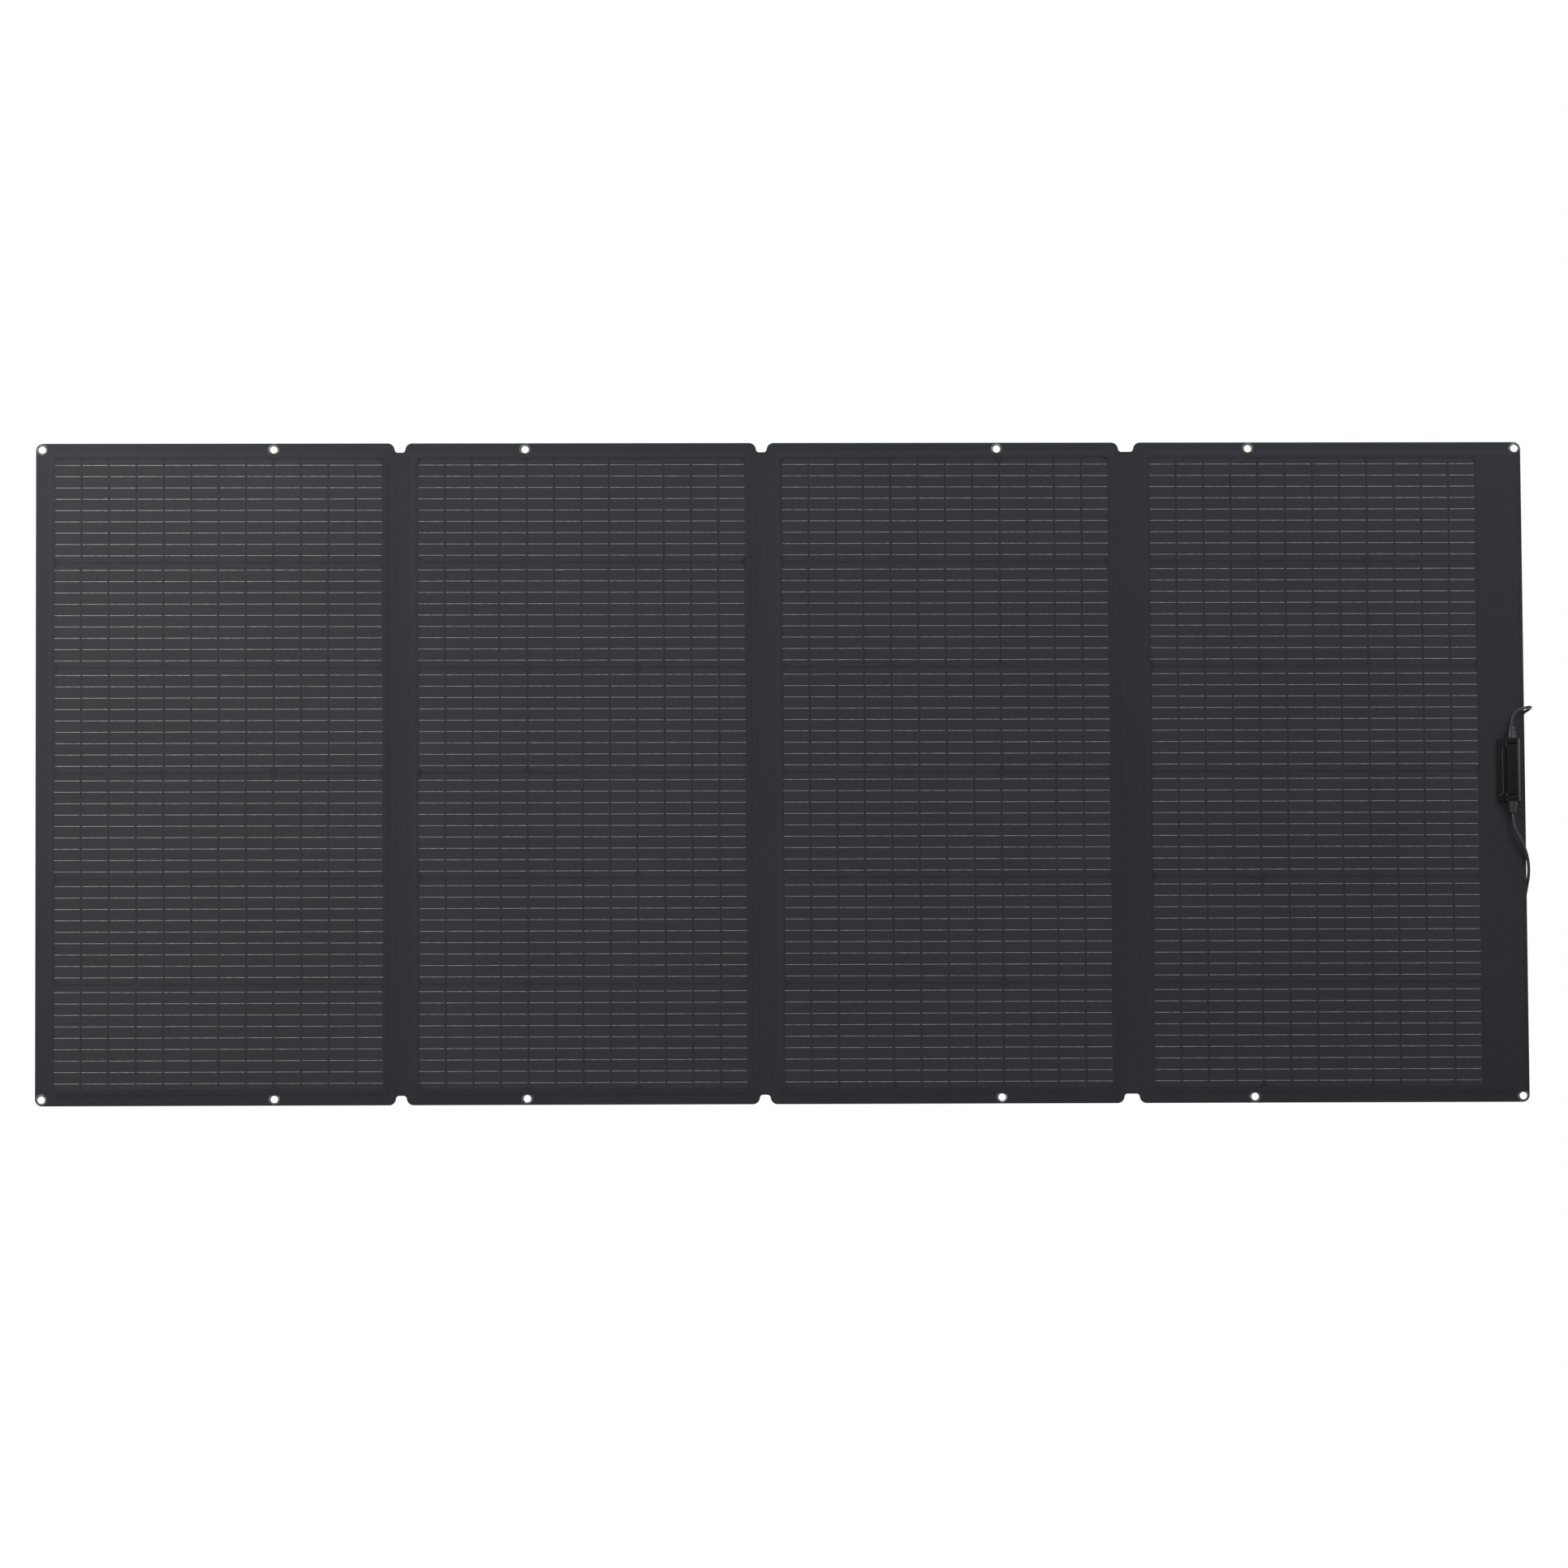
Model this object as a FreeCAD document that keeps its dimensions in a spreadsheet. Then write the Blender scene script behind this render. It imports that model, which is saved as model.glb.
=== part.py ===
import FreeCAD, Part
import math
import os
import re
import Sketcher

# Folding solar sheet: four stiff leaves of cells in a fabric skin, joined by three
# fabric folds, with a junction box and two leads on the right-hand leaf.
# The sheet hangs upright in the XZ plane from its two top corner eyelets.
# Front faces -Y, +X is right as seen from the front, +Z is up.
# Origin: midway between the two top corner eyelets, on the back face of the sheet.

SIZES = {
    # outline
    "leaf_1_width": 578, "leaf_2_width": 575, "leaf_3_width": 581, "leaf_4_width": 631,
    "sheet_height": 1058, "corner_radius": 11,
    "fold_1_strip": 17, "fold_2_strip": 17, "fold_3_strip": 24, "notch_depth": 15,
    # layers, from the back of the sheet to its front
    "fabric": 0.5, "board": 1.0, "rear_resin": 0.4, "cell_thickness": 0.2,
    "ribbon_thickness": 0.2, "front_resin": 0.4, "film": 0.4, "braid_thickness": 0.3,
    # cells
    "strip_width": 41.5, "strip_gap": 2, "cell_height": 166, "row_gap": 2.5,
    "cell_chamfer": 8, "core_margin": 4.5, "core_edge_gap": 6,
    "matrix_1_inset": 30, "matrix_2_inset": 28.5, "matrix_3_inset": 32, "matrix_4_inset": 37,
    "ribbon_edge": 10.4, "ribbon_width": 1.0, "link_width": 3, "link_gap": 0.5,
    # eyelets
    "eyelet_inset": 10, "eyelet_hole": 12, "eyelet_wall": 0.7, "eyelet_flange": 18,
    "flange_thickness": 0.8, "eyelet_fit": 0.2,
    "eyelet_1_offset": 200.5, "eyelet_2_offset": 199,
    "eyelet_3_offset": 206, "eyelet_4_offset": 195,
    # fold conductors
    "braid_width": 12, "braid_top": 180, "braid_pitch": 678,
    # junction box
    "box_width": 36, "box_height": 102, "box_inset": 8, "box_top": 468,
    "tray_depth": 4.4, "gasket": 0.6, "lid_plate": 2, "ridge_height": 9, "ridge_width": 17,
    "ridge_inset": 21, "box_wall": 2, "box_floor": 1.6, "ridge_fillet": 3,
    "rail_width": 9, "rail_length": 27, "rail_pitch": 33, "rail_thickness": 1,
    "diode_width": 8, "diode_length": 14, "diode_thickness": 4,
    "gland_base": 15.6, "gland_tip": 11, "gland_length": 18, "collar_length": 3,
    "collar_step": 1, "gland_depth": 11.3,
    # leads and their connectors
    "lead_diameter": 5, "nut_diameter": 17, "nut_length": 15, "nut_tip": 10,
    "shell_diameter": 15, "shell_length": 38, "nose_diameter": 10.6, "nose_length": 18,
    "nose_bore": 6.4, "socket_bore": 11.6, "socket_depth": 20,
    "contact_diameter": 3, "contact_recess": 8,
}

# How many of each repeated thing there are.
CELL_COLUMNS = 3
ROWS = 6
RIBBONS_PER_ROW = 9
STRIPS_PER_CELL = 4
BRAIDS_PER_FOLD = 2
RAILS = 3
EYELETS = {1: ("first", "second"), 2: ("first",), 3: ("first",), 4: ("first", "second")}

# Places worked out from the sizes, in the same order as they build on each other.
PLACES = {
    "left_edge": "-(leaf_1_width + leaf_2_width + leaf_3_width + leaf_4_width) / 2",
    "right_edge": "-left_edge",
    "fold_1_x": "left_edge + leaf_1_width",
    "fold_2_x": "fold_1_x + leaf_2_width",
    "fold_3_x": "fold_2_x + leaf_3_width",
    "top_edge": "eyelet_inset",
    "bottom_edge": "eyelet_inset - sheet_height",
    "eyelet_rise": "sheet_height - 2 * eyelet_inset",
    "leaf_1_left": "left_edge",
    "leaf_1_right": "fold_1_x - fold_1_strip / 2",
    "leaf_2_left": "fold_1_x + fold_1_strip / 2",
    "leaf_2_right": "fold_2_x - fold_2_strip / 2",
    "leaf_3_left": "fold_2_x + fold_2_strip / 2",
    "leaf_3_right": "fold_3_x - fold_3_strip / 2",
    "leaf_4_left": "fold_3_x + fold_3_strip / 2",
    "leaf_4_right": "right_edge",
    "board_back": "fabric",
    "rear_resin_back": "board_back + board",
    "cells_back": "rear_resin_back + rear_resin",
    "ribbons_back": "cells_back + cell_thickness",
    "front_resin_back": "ribbons_back + ribbon_thickness",
    "cavity_front": "front_resin_back + front_resin",
    "front_face": "cavity_front + film",
    "cell_pitch": f"{STRIPS_PER_CELL} * (strip_width + strip_gap)",
    "row_pitch": "cell_height + row_gap",
    "matrix_width": f"{CELL_COLUMNS} * cell_pitch - strip_gap",
    "matrix_height": f"{ROWS} * row_pitch - row_gap",
    "matrix_top": "top_edge - (sheet_height - matrix_height) / 2",
    "matrix_bottom": "matrix_top - matrix_height",
    "core_top": "matrix_top + core_margin",
    "core_bottom": "matrix_bottom - core_margin",
    "core_height": "core_top - core_bottom",
    "matrix_1_left": "left_edge + matrix_1_inset",
    "matrix_2_left": "fold_1_x + matrix_2_inset",
    "matrix_3_left": "fold_2_x + matrix_3_inset",
    "matrix_4_left": "fold_3_x + matrix_4_inset",
    "core_1_left": "matrix_1_left - core_margin",
    "core_2_left": "matrix_2_left - core_margin",
    "core_3_left": "matrix_3_left - core_margin",
    "core_4_left": "matrix_4_left - core_margin",
    "core_1_right": "matrix_1_left + matrix_width + core_margin",
    "core_2_right": "matrix_2_left + matrix_width + core_margin",
    "core_3_right": "matrix_3_left + matrix_width + core_margin",
    "core_4_right": "right_edge - core_edge_gap",
    "ribbon_pitch": f"(cell_height - 2 * ribbon_edge) / {RIBBONS_PER_ROW - 1}",
    "first_ribbon": "matrix_top - ribbon_edge",
    "eyelet_barrel": "eyelet_hole + 2 * eyelet_wall",
    "eyelet_seat": "eyelet_barrel + eyelet_fit",
    "border_front": "fabric + film",
    "eyelet_1_first": "left_edge + eyelet_inset",
    "eyelet_1_second": "fold_1_x - eyelet_1_offset",
    "eyelet_2_first": "fold_1_x + eyelet_2_offset",
    "eyelet_3_first": "fold_3_x - eyelet_3_offset",
    "eyelet_4_first": "fold_3_x + eyelet_4_offset",
    "eyelet_4_second": "right_edge - eyelet_inset",
    "box_right": "right_edge - box_inset",
    "box_left": "box_right - box_width",
    "box_bottom": "-box_top - box_height",
    "box_axis": "right_edge - ridge_inset",
    "upper_gland_tip": "gland_length - box_top",
    "lower_gland_tip": "box_bottom - gland_length",
    "tray_front": "front_face + tray_depth",
    "gasket_front": "tray_front + gasket",
    "shoulder_front": "gasket_front + lid_plate",
    "ridge_front": "shoulder_front + ridge_height",
    "floor_front": "front_face + box_floor",
}

TURN_LIMIT = 1e-6

os.makedirs("parts", exist_ok=True)
doc = FreeCAD.newDocument("SolarSheet")
sizes = doc.addObject("Spreadsheet::Sheet", "Sizes")
places = doc.addObject("Spreadsheet::Sheet", "Places")


def bound(text):
    """Point every size and place named in an expression at its spreadsheet."""
    def owner(match):
        word = match.group()
        if word in SIZES:
            return "Sizes." + word
        if word in PLACES:
            return "Places." + word
        return word
    return re.sub(r"[a-z][a-z_0-9]*", owner, str(text))


for row, (alias, number) in enumerate(SIZES.items(), start=1):
    sizes.set(f"A{row}", alias)
    sizes.set(f"B{row}", str(number))
    sizes.setAlias(f"B{row}", alias)
doc.recompute()
for row, (alias, formula) in enumerate(PLACES.items(), start=1):
    places.set(f"A{row}", alias)
    places.set(f"B{row}", "=" + bound(formula).replace("Places.", ""))
    places.setAlias(f"B{row}", alias)
doc.recompute()


def read(alias):
    """The number that a size or a place has in its sheet."""
    sheet = sizes if alias in SIZES else places
    return float(sheet.get(alias))


def bind(thing, **expressions):
    """Bind properties of an object; a double underscore in a name stands for a dot."""
    for name, text in expressions.items():
        thing.setExpression(name.replace("__", "."), bound(text))
    return thing


def place(thing, x=0, y=0, z=0):
    return bind(thing, Placement__Base__x=x, Placement__Base__y=y, Placement__Base__z=z)


def box(name, x, y, z, length, width, height):
    """A block with its lowest corner at x, y, z."""
    block = doc.addObject("Part::Box", name)
    bind(block, Length=length, Width=width, Height=height)
    return place(block, x, y, z)


def cylinder(name, radius, height, x, y, z):
    """An upright cylinder whose lower end is centred at x, y, z."""
    drum = doc.addObject("Part::Cylinder", name)
    bind(drum, Radius=radius, Height=height)
    return place(drum, x, y, z)


def cone(name, lower_radius, upper_radius, height, x, y, z):
    """An upright cone whose lower end is centred at x, y, z."""
    taper = doc.addObject("Part::Cone", name)
    bind(taper, Radius1=lower_radius, Radius2=upper_radius, Height=height)
    return place(taper, x, y, z)


def cut(name, base, tool):
    result = doc.addObject("Part::Cut", name)
    result.Base = base
    result.Tool = tool
    return result


def fuse(name, pieces):
    result = doc.addObject("Part::MultiFuse", name)
    result.Shapes = pieces
    return result


def group(name, pieces):
    result = doc.addObject("Part::Compound", name)
    result.Links = pieces
    return result


def origin_plane(body, role):
    return next(f for f in body.Origin.OriginFeatures if f.Role == role)


def new_body(name, compound=False):
    body = doc.addObject("PartDesign::Body", name)
    body.AllowCompound = compound
    return body


def new_sketch(body, name, role, offset="0", shift="0"):
    """A sketch on an origin plane, moved along its normal and along its own x axis."""
    sketch = body.newObject("Sketcher::SketchObject", name)
    sketch.AttachmentSupport = [(origin_plane(body, role), "")]
    sketch.MapMode = "FlatFace"
    bind(sketch, AttachmentOffset__Base__z=offset, AttachmentOffset__Base__x=shift)
    return sketch


def fix_point(sketch, edge, end, x, y):
    """Hold one end of an edge at bound coordinates."""
    for kind, text in (("DistanceX", x), ("DistanceY", y)):
        number = sketch.addConstraint(Sketcher.Constraint(kind, -1, 1, edge, end, 1.0))
        label = f"{kind}_{edge}_{end}"
        sketch.renameConstraint(number, label)
        sketch.setExpression("Constraints." + label, bound(text))


def polygon(sketch, corners):
    """A closed outline through bound corners."""
    first = sketch.GeometryCount
    count = len(corners)
    turn = 2 * math.pi / count
    points = [FreeCAD.Vector(math.cos(k * turn), math.sin(k * turn), 0) for k in range(count)]
    for k in range(count):
        sketch.addGeometry(Part.LineSegment(points[k], points[(k + 1) % count]), False)
    for k in range(count):
        joint = Sketcher.Constraint("Coincident", first + k, 2, first + (k + 1) % count, 1)
        sketch.addConstraint(joint)
    for k, (x, y) in enumerate(corners):
        fix_point(sketch, first + k, 1, x, y)


def rectangle(sketch, low_x, high_x, low_y, high_y):
    polygon(sketch, [(low_x, low_y), (high_x, low_y), (high_x, high_y), (low_x, high_y)])


def circle(sketch, x, y, diameter):
    number = sketch.addGeometry(Part.Circle(FreeCAD.Vector(0, 0, 0), FreeCAD.Vector(0, 0, 1), 1))
    fix_point(sketch, number, 3, x, y)
    held = sketch.addConstraint(Sketcher.Constraint("Diameter", number, 2.0))
    sketch.renameConstraint(held, f"Diameter_{number}")
    sketch.setExpression(f"Constraints.Diameter_{number}", bound(diameter))


def pad(body, name, sketch, length):
    feature = body.newObject("PartDesign::Pad", name)
    feature.Profile = sketch
    return bind(feature, Length=length)


def pocket(body, name, sketch, length):
    """Remove material from the sketch towards the front, and make sure that some went."""
    before = body.Shape.Volume
    feature = body.newObject("PartDesign::Pocket", name)
    feature.Profile = sketch
    feature.Reversed = True
    bind(feature, Length=length)
    doc.recompute()
    if body.Shape.Volume >= before - TURN_LIMIT:
        raise RuntimeError(name + " removes nothing")
    return feature


def round_corners(body, name, base, radius, direction):
    """Fillet the straight outer edges of a feature that run along one direction."""
    doc.recompute()
    chosen = []
    for number, edge in enumerate(base.Shape.Edges, start=1):
        along = edge.tangentAt(edge.FirstParameter)
        if abs(along.dot(direction)) > 1 - TURN_LIMIT:
            chosen.append(f"Edge{number}")
    feature = body.newObject("PartDesign::Fillet", name)
    feature.Base = (base, chosen)
    return bind(feature, Radius=radius)


def repeat(body, name, original, sketch, x_count, x_pitch, z_count, z_pitch):
    """Repeat a feature along the sketch's two axes, downwards for the second."""
    transform = body.newObject("PartDesign::MultiTransform", name)
    steps = []
    for axis, count, pitch in (("H_Axis", x_count, x_pitch), ("V_Axis", z_count, z_pitch)):
        if count == 1:
            continue
        step = body.newObject("PartDesign::LinearPattern", f"{name}_{axis}")
        step.Direction = (sketch, [axis])
        step.Mode = "Spacing"
        step.Occurrences = count
        step.Reversed = axis == "V_Axis"
        bind(step, Offset=pitch)
        steps.append(step)
    transform.Originals = [original]
    transform.Transformations = steps
    body.Tip = transform
    return transform


# ---------------------------------------------------------------- leaves

def eyelet_positions(leaf):
    return [f"eyelet_{leaf}_{which}" for which in EYELETS[leaf]]


def drill_eyelets(body, name, leaf, start, depth):
    """Holes that the eyelet barrels pass through, at the top and bottom edges."""
    sketch = new_sketch(body, name + "_sketch", "XZ_Plane", start)
    for x in eyelet_positions(leaf):
        circle(sketch, x, "0", "eyelet_seat")
        circle(sketch, x, "-eyelet_rise", "eyelet_seat")
    pocket(body, name, sketch, depth)


def leaf_plate(body, name, leaf, start, thickness):
    """The leaf's outline with rounded corners."""
    sketch = new_sketch(body, name + "_sketch", "XZ_Plane", start)
    rectangle(sketch, f"leaf_{leaf}_left", f"leaf_{leaf}_right", "bottom_edge", "top_edge")
    plate = pad(body, name, sketch, thickness)
    round_corners(body, name + "_corners", plate, "corner_radius", FreeCAD.Vector(0, 1, 0))


def back_fabric(leaf):
    name = f"leaf_{leaf}_back_fabric"
    body = new_body(name)
    leaf_plate(body, name + "_sheet", leaf, "0", "fabric")
    drill_eyelets(body, name + "_holes", leaf, "0", "fabric")
    return body


def core_layer(name, leaf, back, thickness):
    """A flat layer of the stiff core."""
    left, right = f"core_{leaf}_left", f"core_{leaf}_right"
    front = f"-({back} + {thickness})"
    return box(name, left, front, "core_bottom", f"{right} - {left}", thickness, "core_height")


def cover_film(leaf):
    """The front film: a flat border with a shallow tray formed over the core."""
    name = f"leaf_{leaf}_cover_film"
    left, right = f"core_{leaf}_left", f"core_{leaf}_right"
    body = new_body(name)
    leaf_plate(body, name + "_border", leaf, "fabric", "film")
    raised = new_sketch(body, name + "_raised_sketch", "XZ_Plane", "fabric")
    rectangle(raised, f"{left} - film", f"{right} + film", "core_bottom - film", "core_top + film")
    pad(body, name + "_raised", raised, "front_face - fabric")
    doc.recompute()
    hollow = new_sketch(body, name + "_hollow_sketch", "XZ_Plane", "fabric")
    rectangle(hollow, left, right, "core_bottom", "core_top")
    pocket(body, name + "_hollow", hollow, "cavity_front - fabric")
    drill_eyelets(body, name + "_holes", leaf, "fabric", "film")
    return body


def strip_outline(left, number):
    """One quarter of a cell with clipped corners: the outer quarters carry the clips."""
    low = f"{left} + {number} * (strip_width + strip_gap)"
    high = f"{low} + strip_width"
    top, bottom, clip = "matrix_top", "matrix_top - cell_height", "cell_chamfer"
    if number == 0:
        return [(f"{low} + {clip}", bottom), (high, bottom), (high, top),
                (f"{low} + {clip}", top), (low, f"{top} - {clip}"), (low, f"{bottom} + {clip}")]
    if number == STRIPS_PER_CELL - 1:
        return [(low, bottom), (f"{high} - {clip}", bottom), (high, f"{bottom} + {clip}"),
                (high, f"{top} - {clip}"), (f"{high} - {clip}", top), (low, top)]
    return [(low, bottom), (high, bottom), (high, top), (low, top)]


def cells(leaf):
    """Three columns and six rows of cells, each cut into four upright strips."""
    name = f"leaf_{leaf}_cells"
    body = new_body(name, compound=True)
    sketch = new_sketch(body, name + "_sketch", "XZ_Plane", "cells_back")
    for number in range(STRIPS_PER_CELL):
        polygon(sketch, strip_outline(f"matrix_{leaf}_left", number))
    first = pad(body, name + "_first", sketch, "cell_thickness")
    doc.recompute()
    repeat(body, name + "_grid", first, sketch, CELL_COLUMNS, "cell_pitch", ROWS, "row_pitch")
    return body


def cell_ribbons(leaf):
    """Nine level ribbons on each row of cells, running the width of the leaf's cells."""
    name = f"leaf_{leaf}_cell_ribbons"
    left = f"matrix_{leaf}_left"
    body = new_body(name, compound=True)
    sketch = new_sketch(body, name + "_sketch", "XZ_Plane", "ribbons_back")
    for number in range(RIBBONS_PER_ROW):
        middle = f"first_ribbon - {number} * ribbon_pitch"
        rectangle(sketch, left, f"{left} + matrix_width",
                  f"{middle} - ribbon_width / 2", f"{middle} + ribbon_width / 2")
    first = pad(body, name + "_first", sketch, "ribbon_thickness")
    doc.recompute()
    repeat(body, name + "_rows", first, sketch, 1, "0", ROWS, "row_pitch")
    return body


def string_links(leaf):
    """Upright bars that join the rows in series, alternately at the left and the right."""
    name = f"leaf_{leaf}_string_links"
    left = f"matrix_{leaf}_left - link_gap - link_width"
    right = f"matrix_{leaf}_left + matrix_width + link_gap"
    runs = [(left, 0, 1), (left, 1, 2), (left, 3, 2), (left, 5, 1),
            (right, 0, 2), (right, 2, 2), (right, 4, 2)]
    bars = []
    for number, (x, row, rows) in enumerate(runs):
        low = f"matrix_top - {row + rows} * row_pitch + row_gap"
        height = f"{rows} * row_pitch - row_gap"
        bars.append(box(f"{name}_{number}", x, "-front_resin_back", low,
                        "link_width", "ribbon_thickness", height))
    return group(name, bars)


def eyelets(leaf):
    """Flanged eyelets, each with a washer behind the sheet."""
    name = f"leaf_{leaf}_eyelets"
    positions = eyelet_positions(leaf)
    body = new_body(name, compound=True)
    sketch = new_sketch(body, name + "_profile", "XY_Plane", "0", positions[0])
    bore, barrel, rim = "eyelet_hole / 2", "eyelet_barrel / 2", "eyelet_flange / 2"
    front, back = "-border_front", "flange_thickness"
    polygon(sketch, [(bore, f"{front} - flange_thickness"), (rim, f"{front} - flange_thickness"),
                     (rim, front), (barrel, front), (barrel, back), (bore, back)])
    rectangle(sketch, "eyelet_seat / 2", rim, "0", back)
    first = body.newObject("PartDesign::Revolution", name + "_first")
    first.Profile = sketch
    first.ReferenceAxis = (sketch, ["V_Axis"])
    doc.recompute()
    axes = new_sketch(body, name + "_axes", "XZ_Plane")
    circle(axes, positions[0], "0", "eyelet_hole")
    columns = len(positions)
    gap = f"{positions[-1]} - {positions[0]}"
    repeat(body, name + "_grid", first, axes, columns, gap, 2, "eyelet_rise")
    return body


def leaf_parts(leaf):
    name = f"leaf_{leaf}_"
    return [
        back_fabric(leaf),
        core_layer(name + "board", leaf, "board_back", "board"),
        core_layer(name + "rear_encapsulant", leaf, "rear_resin_back", "rear_resin"),
        cells(leaf),
        cell_ribbons(leaf),
        string_links(leaf),
        core_layer(name + "front_encapsulant", leaf, "front_resin_back", "front_resin"),
        cover_film(leaf),
        eyelets(leaf),
    ]


# ---------------------------------------------------------------- folds

def fold_parts(fold):
    """The fabric, the conductors and the film that cross from leaf to leaf."""
    name = f"fold_{fold}_"
    left, width = f"fold_{fold}_x - fold_{fold}_strip / 2", f"fold_{fold}_strip"
    low = "bottom_edge + notch_depth"
    height = "sheet_height - 2 * notch_depth"
    fabric = box(name + "back_fabric", left, "-fabric", low, width, "fabric", height)
    braids = []
    for number in range(BRAIDS_PER_FOLD):
        bottom = f"-braid_top - {number} * braid_pitch - braid_width"
        braids.append(box(f"{name}braid_{number}", left, "-fabric - braid_thickness", bottom,
                          width, "braid_thickness", "braid_width"))
    conductors = group(name + "conductors", braids)
    film = box(name + "front_film", left, "-fabric - braid_thickness - film", low,
               width, "film", height)
    return [fabric, conductors, film]


# ---------------------------------------------------------------- junction box

def box_base():
    outer = box("box_base_outer", "box_left", "-tray_front", "box_bottom",
                "box_width", "tray_depth", "box_height")
    inner = box("box_base_inner", "box_left + box_wall", "-tray_front - box_wall",
                "box_bottom + box_wall", "box_width - 2 * box_wall",
                "tray_depth - box_floor + box_wall", "box_height - 2 * box_wall")
    return cut("box_base", outer, inner)


def box_gasket():
    outer = box("box_gasket_outer", "box_left", "-gasket_front", "box_bottom",
                "box_width", "gasket", "box_height")
    inner = box("box_gasket_inner", "box_left + box_wall", "-gasket_front - gasket",
                "box_bottom + box_wall", "box_width - 2 * box_wall",
                "3 * gasket", "box_height - 2 * box_wall")
    return cut("box_gasket", outer, inner)


def box_lid():
    """A flat plate with a hollow ridge along the line of the leads."""
    body = new_body("box_lid")
    plate = new_sketch(body, "box_lid_plate_sketch", "XZ_Plane", "gasket_front")
    rectangle(plate, "box_left", "box_right", "box_bottom", "-box_top")
    pad(body, "box_lid_plate", plate, "lid_plate")
    low, high = "box_axis - ridge_width / 2", "box_axis + ridge_width / 2"
    ridge = new_sketch(body, "box_lid_ridge_sketch", "XZ_Plane", "gasket_front")
    rectangle(ridge, low, high, "box_bottom", "-box_top")
    pad(body, "box_lid_ridge", ridge, "lid_plate + ridge_height")
    doc.recompute()
    hollow = new_sketch(body, "box_lid_hollow_sketch", "XZ_Plane", "gasket_front")
    rectangle(hollow, f"{low} + box_wall", f"{high} - box_wall",
              "box_bottom + box_wall", "-box_top - box_wall")
    last = pocket(body, "box_lid_hollow", hollow, "lid_plate + ridge_height - box_wall")
    edges = []
    crest = -read("ridge_front")
    for number, edge in enumerate(last.Shape.Edges, start=1):
        ends = edge.BoundBox
        if abs(ends.YMin - crest) < TURN_LIMIT and abs(ends.YMax - crest) < TURN_LIMIT:
            edges.append(f"Edge{number}")
    rounding = body.newObject("PartDesign::Fillet", "box_lid_rounding")
    rounding.Base = (last, edges)
    bind(rounding, Radius="ridge_fillet")
    return body


def rail_bottom(number):
    """The lower end of one rail; the row of rails is centred on the box."""
    middle = (RAILS - 1) / 2
    return f"-box_top - box_height / 2 + {number - middle} * rail_pitch - rail_length / 2"


def terminal_rails():
    rails = []
    for number in range(RAILS):
        rails.append(box(f"rail_{number}", "box_axis - rail_width / 2",
                         "-floor_front - rail_thickness", rail_bottom(number),
                         "rail_width", "rail_thickness", "rail_length"))
    return group("terminal_rails", rails)


def bypass_diodes():
    diodes = []
    for number in range(RAILS - 1):
        low = f"{rail_bottom(number)} + rail_length + (rail_pitch - rail_length - diode_length) / 2"
        diodes.append(box(f"diode_{number}", "box_axis - diode_width / 2",
                          "-floor_front - rail_thickness - diode_thickness", low,
                          "diode_width", "diode_thickness", "diode_length"))
    return group("bypass_diodes", diodes)


def gland(name, start, upward):
    """A tapered strain relief with a collar at its tip; start is its flat foot."""
    tip_z = f"{start} + gland_length" if upward else f"{start} - gland_length"
    low = start if upward else tip_z
    wide, slim = "gland_base / 2", "gland_tip / 2 - collar_step"
    radii = (wide, slim) if upward else (slim, wide)
    taper = cone(name + "_taper", radii[0], radii[1], "gland_length", "box_axis", "-gland_depth", low)
    collar_low = f"{tip_z} - collar_length" if upward else tip_z
    collar = cylinder(name + "_collar", "gland_tip / 2", "collar_length",
                      "box_axis", "-gland_depth", collar_low)
    return fuse(name, [taper, collar])


# ---------------------------------------------------------------- leads

# Each route is a list of points chosen by hand, measured from the tip of its gland: out
# of the gland, round the sheet's right-hand edge and down behind it to the connector.
UPPER_ROUTE = [
    (0, 0, 0), (0, 0, 13), (6.5, -1.2, 24), (18.5, -1.2, 30),
    (28.5, 3.3, 32.5), (33, 13.3, 33), (29, 22.3, 30.7), (20, 28.3, 25.4),
    (7.5, 28.8, 3), (-3.5, 26.8, -30), (-11.5, 25.3, -65), (-16.5, 24.3, -110),
    (-19, 23.8, -160), (-19.5, 23.3, -210), (-19.5, 23.3, -255),
]
LOWER_ROUTE = [
    (0, 0, 0), (0, 0, -13), (4, -1.2, -28), (13.5, -1.2, -46),
    (21.1, 2.8, -64), (24.7, 9.3, -82), (25.1, 16.3, -98), (22.5, 21.8, -115),
    (18.5, 24.3, -136), (13.5, 24.8, -164), (9.5, 24.3, -202), (7.5, 23.8, -247),
    (7, 23.3, -297), (7, 23.3, -347),
]
BEND_SHARE = 0.45


def route_end(tip, route):
    """Where a lead ends and its connector begins, as expressions."""
    x, y, z = route[-1]
    return f"box_axis + {x}", f"{y} - gland_depth", f"{tip} + {z}"


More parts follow.
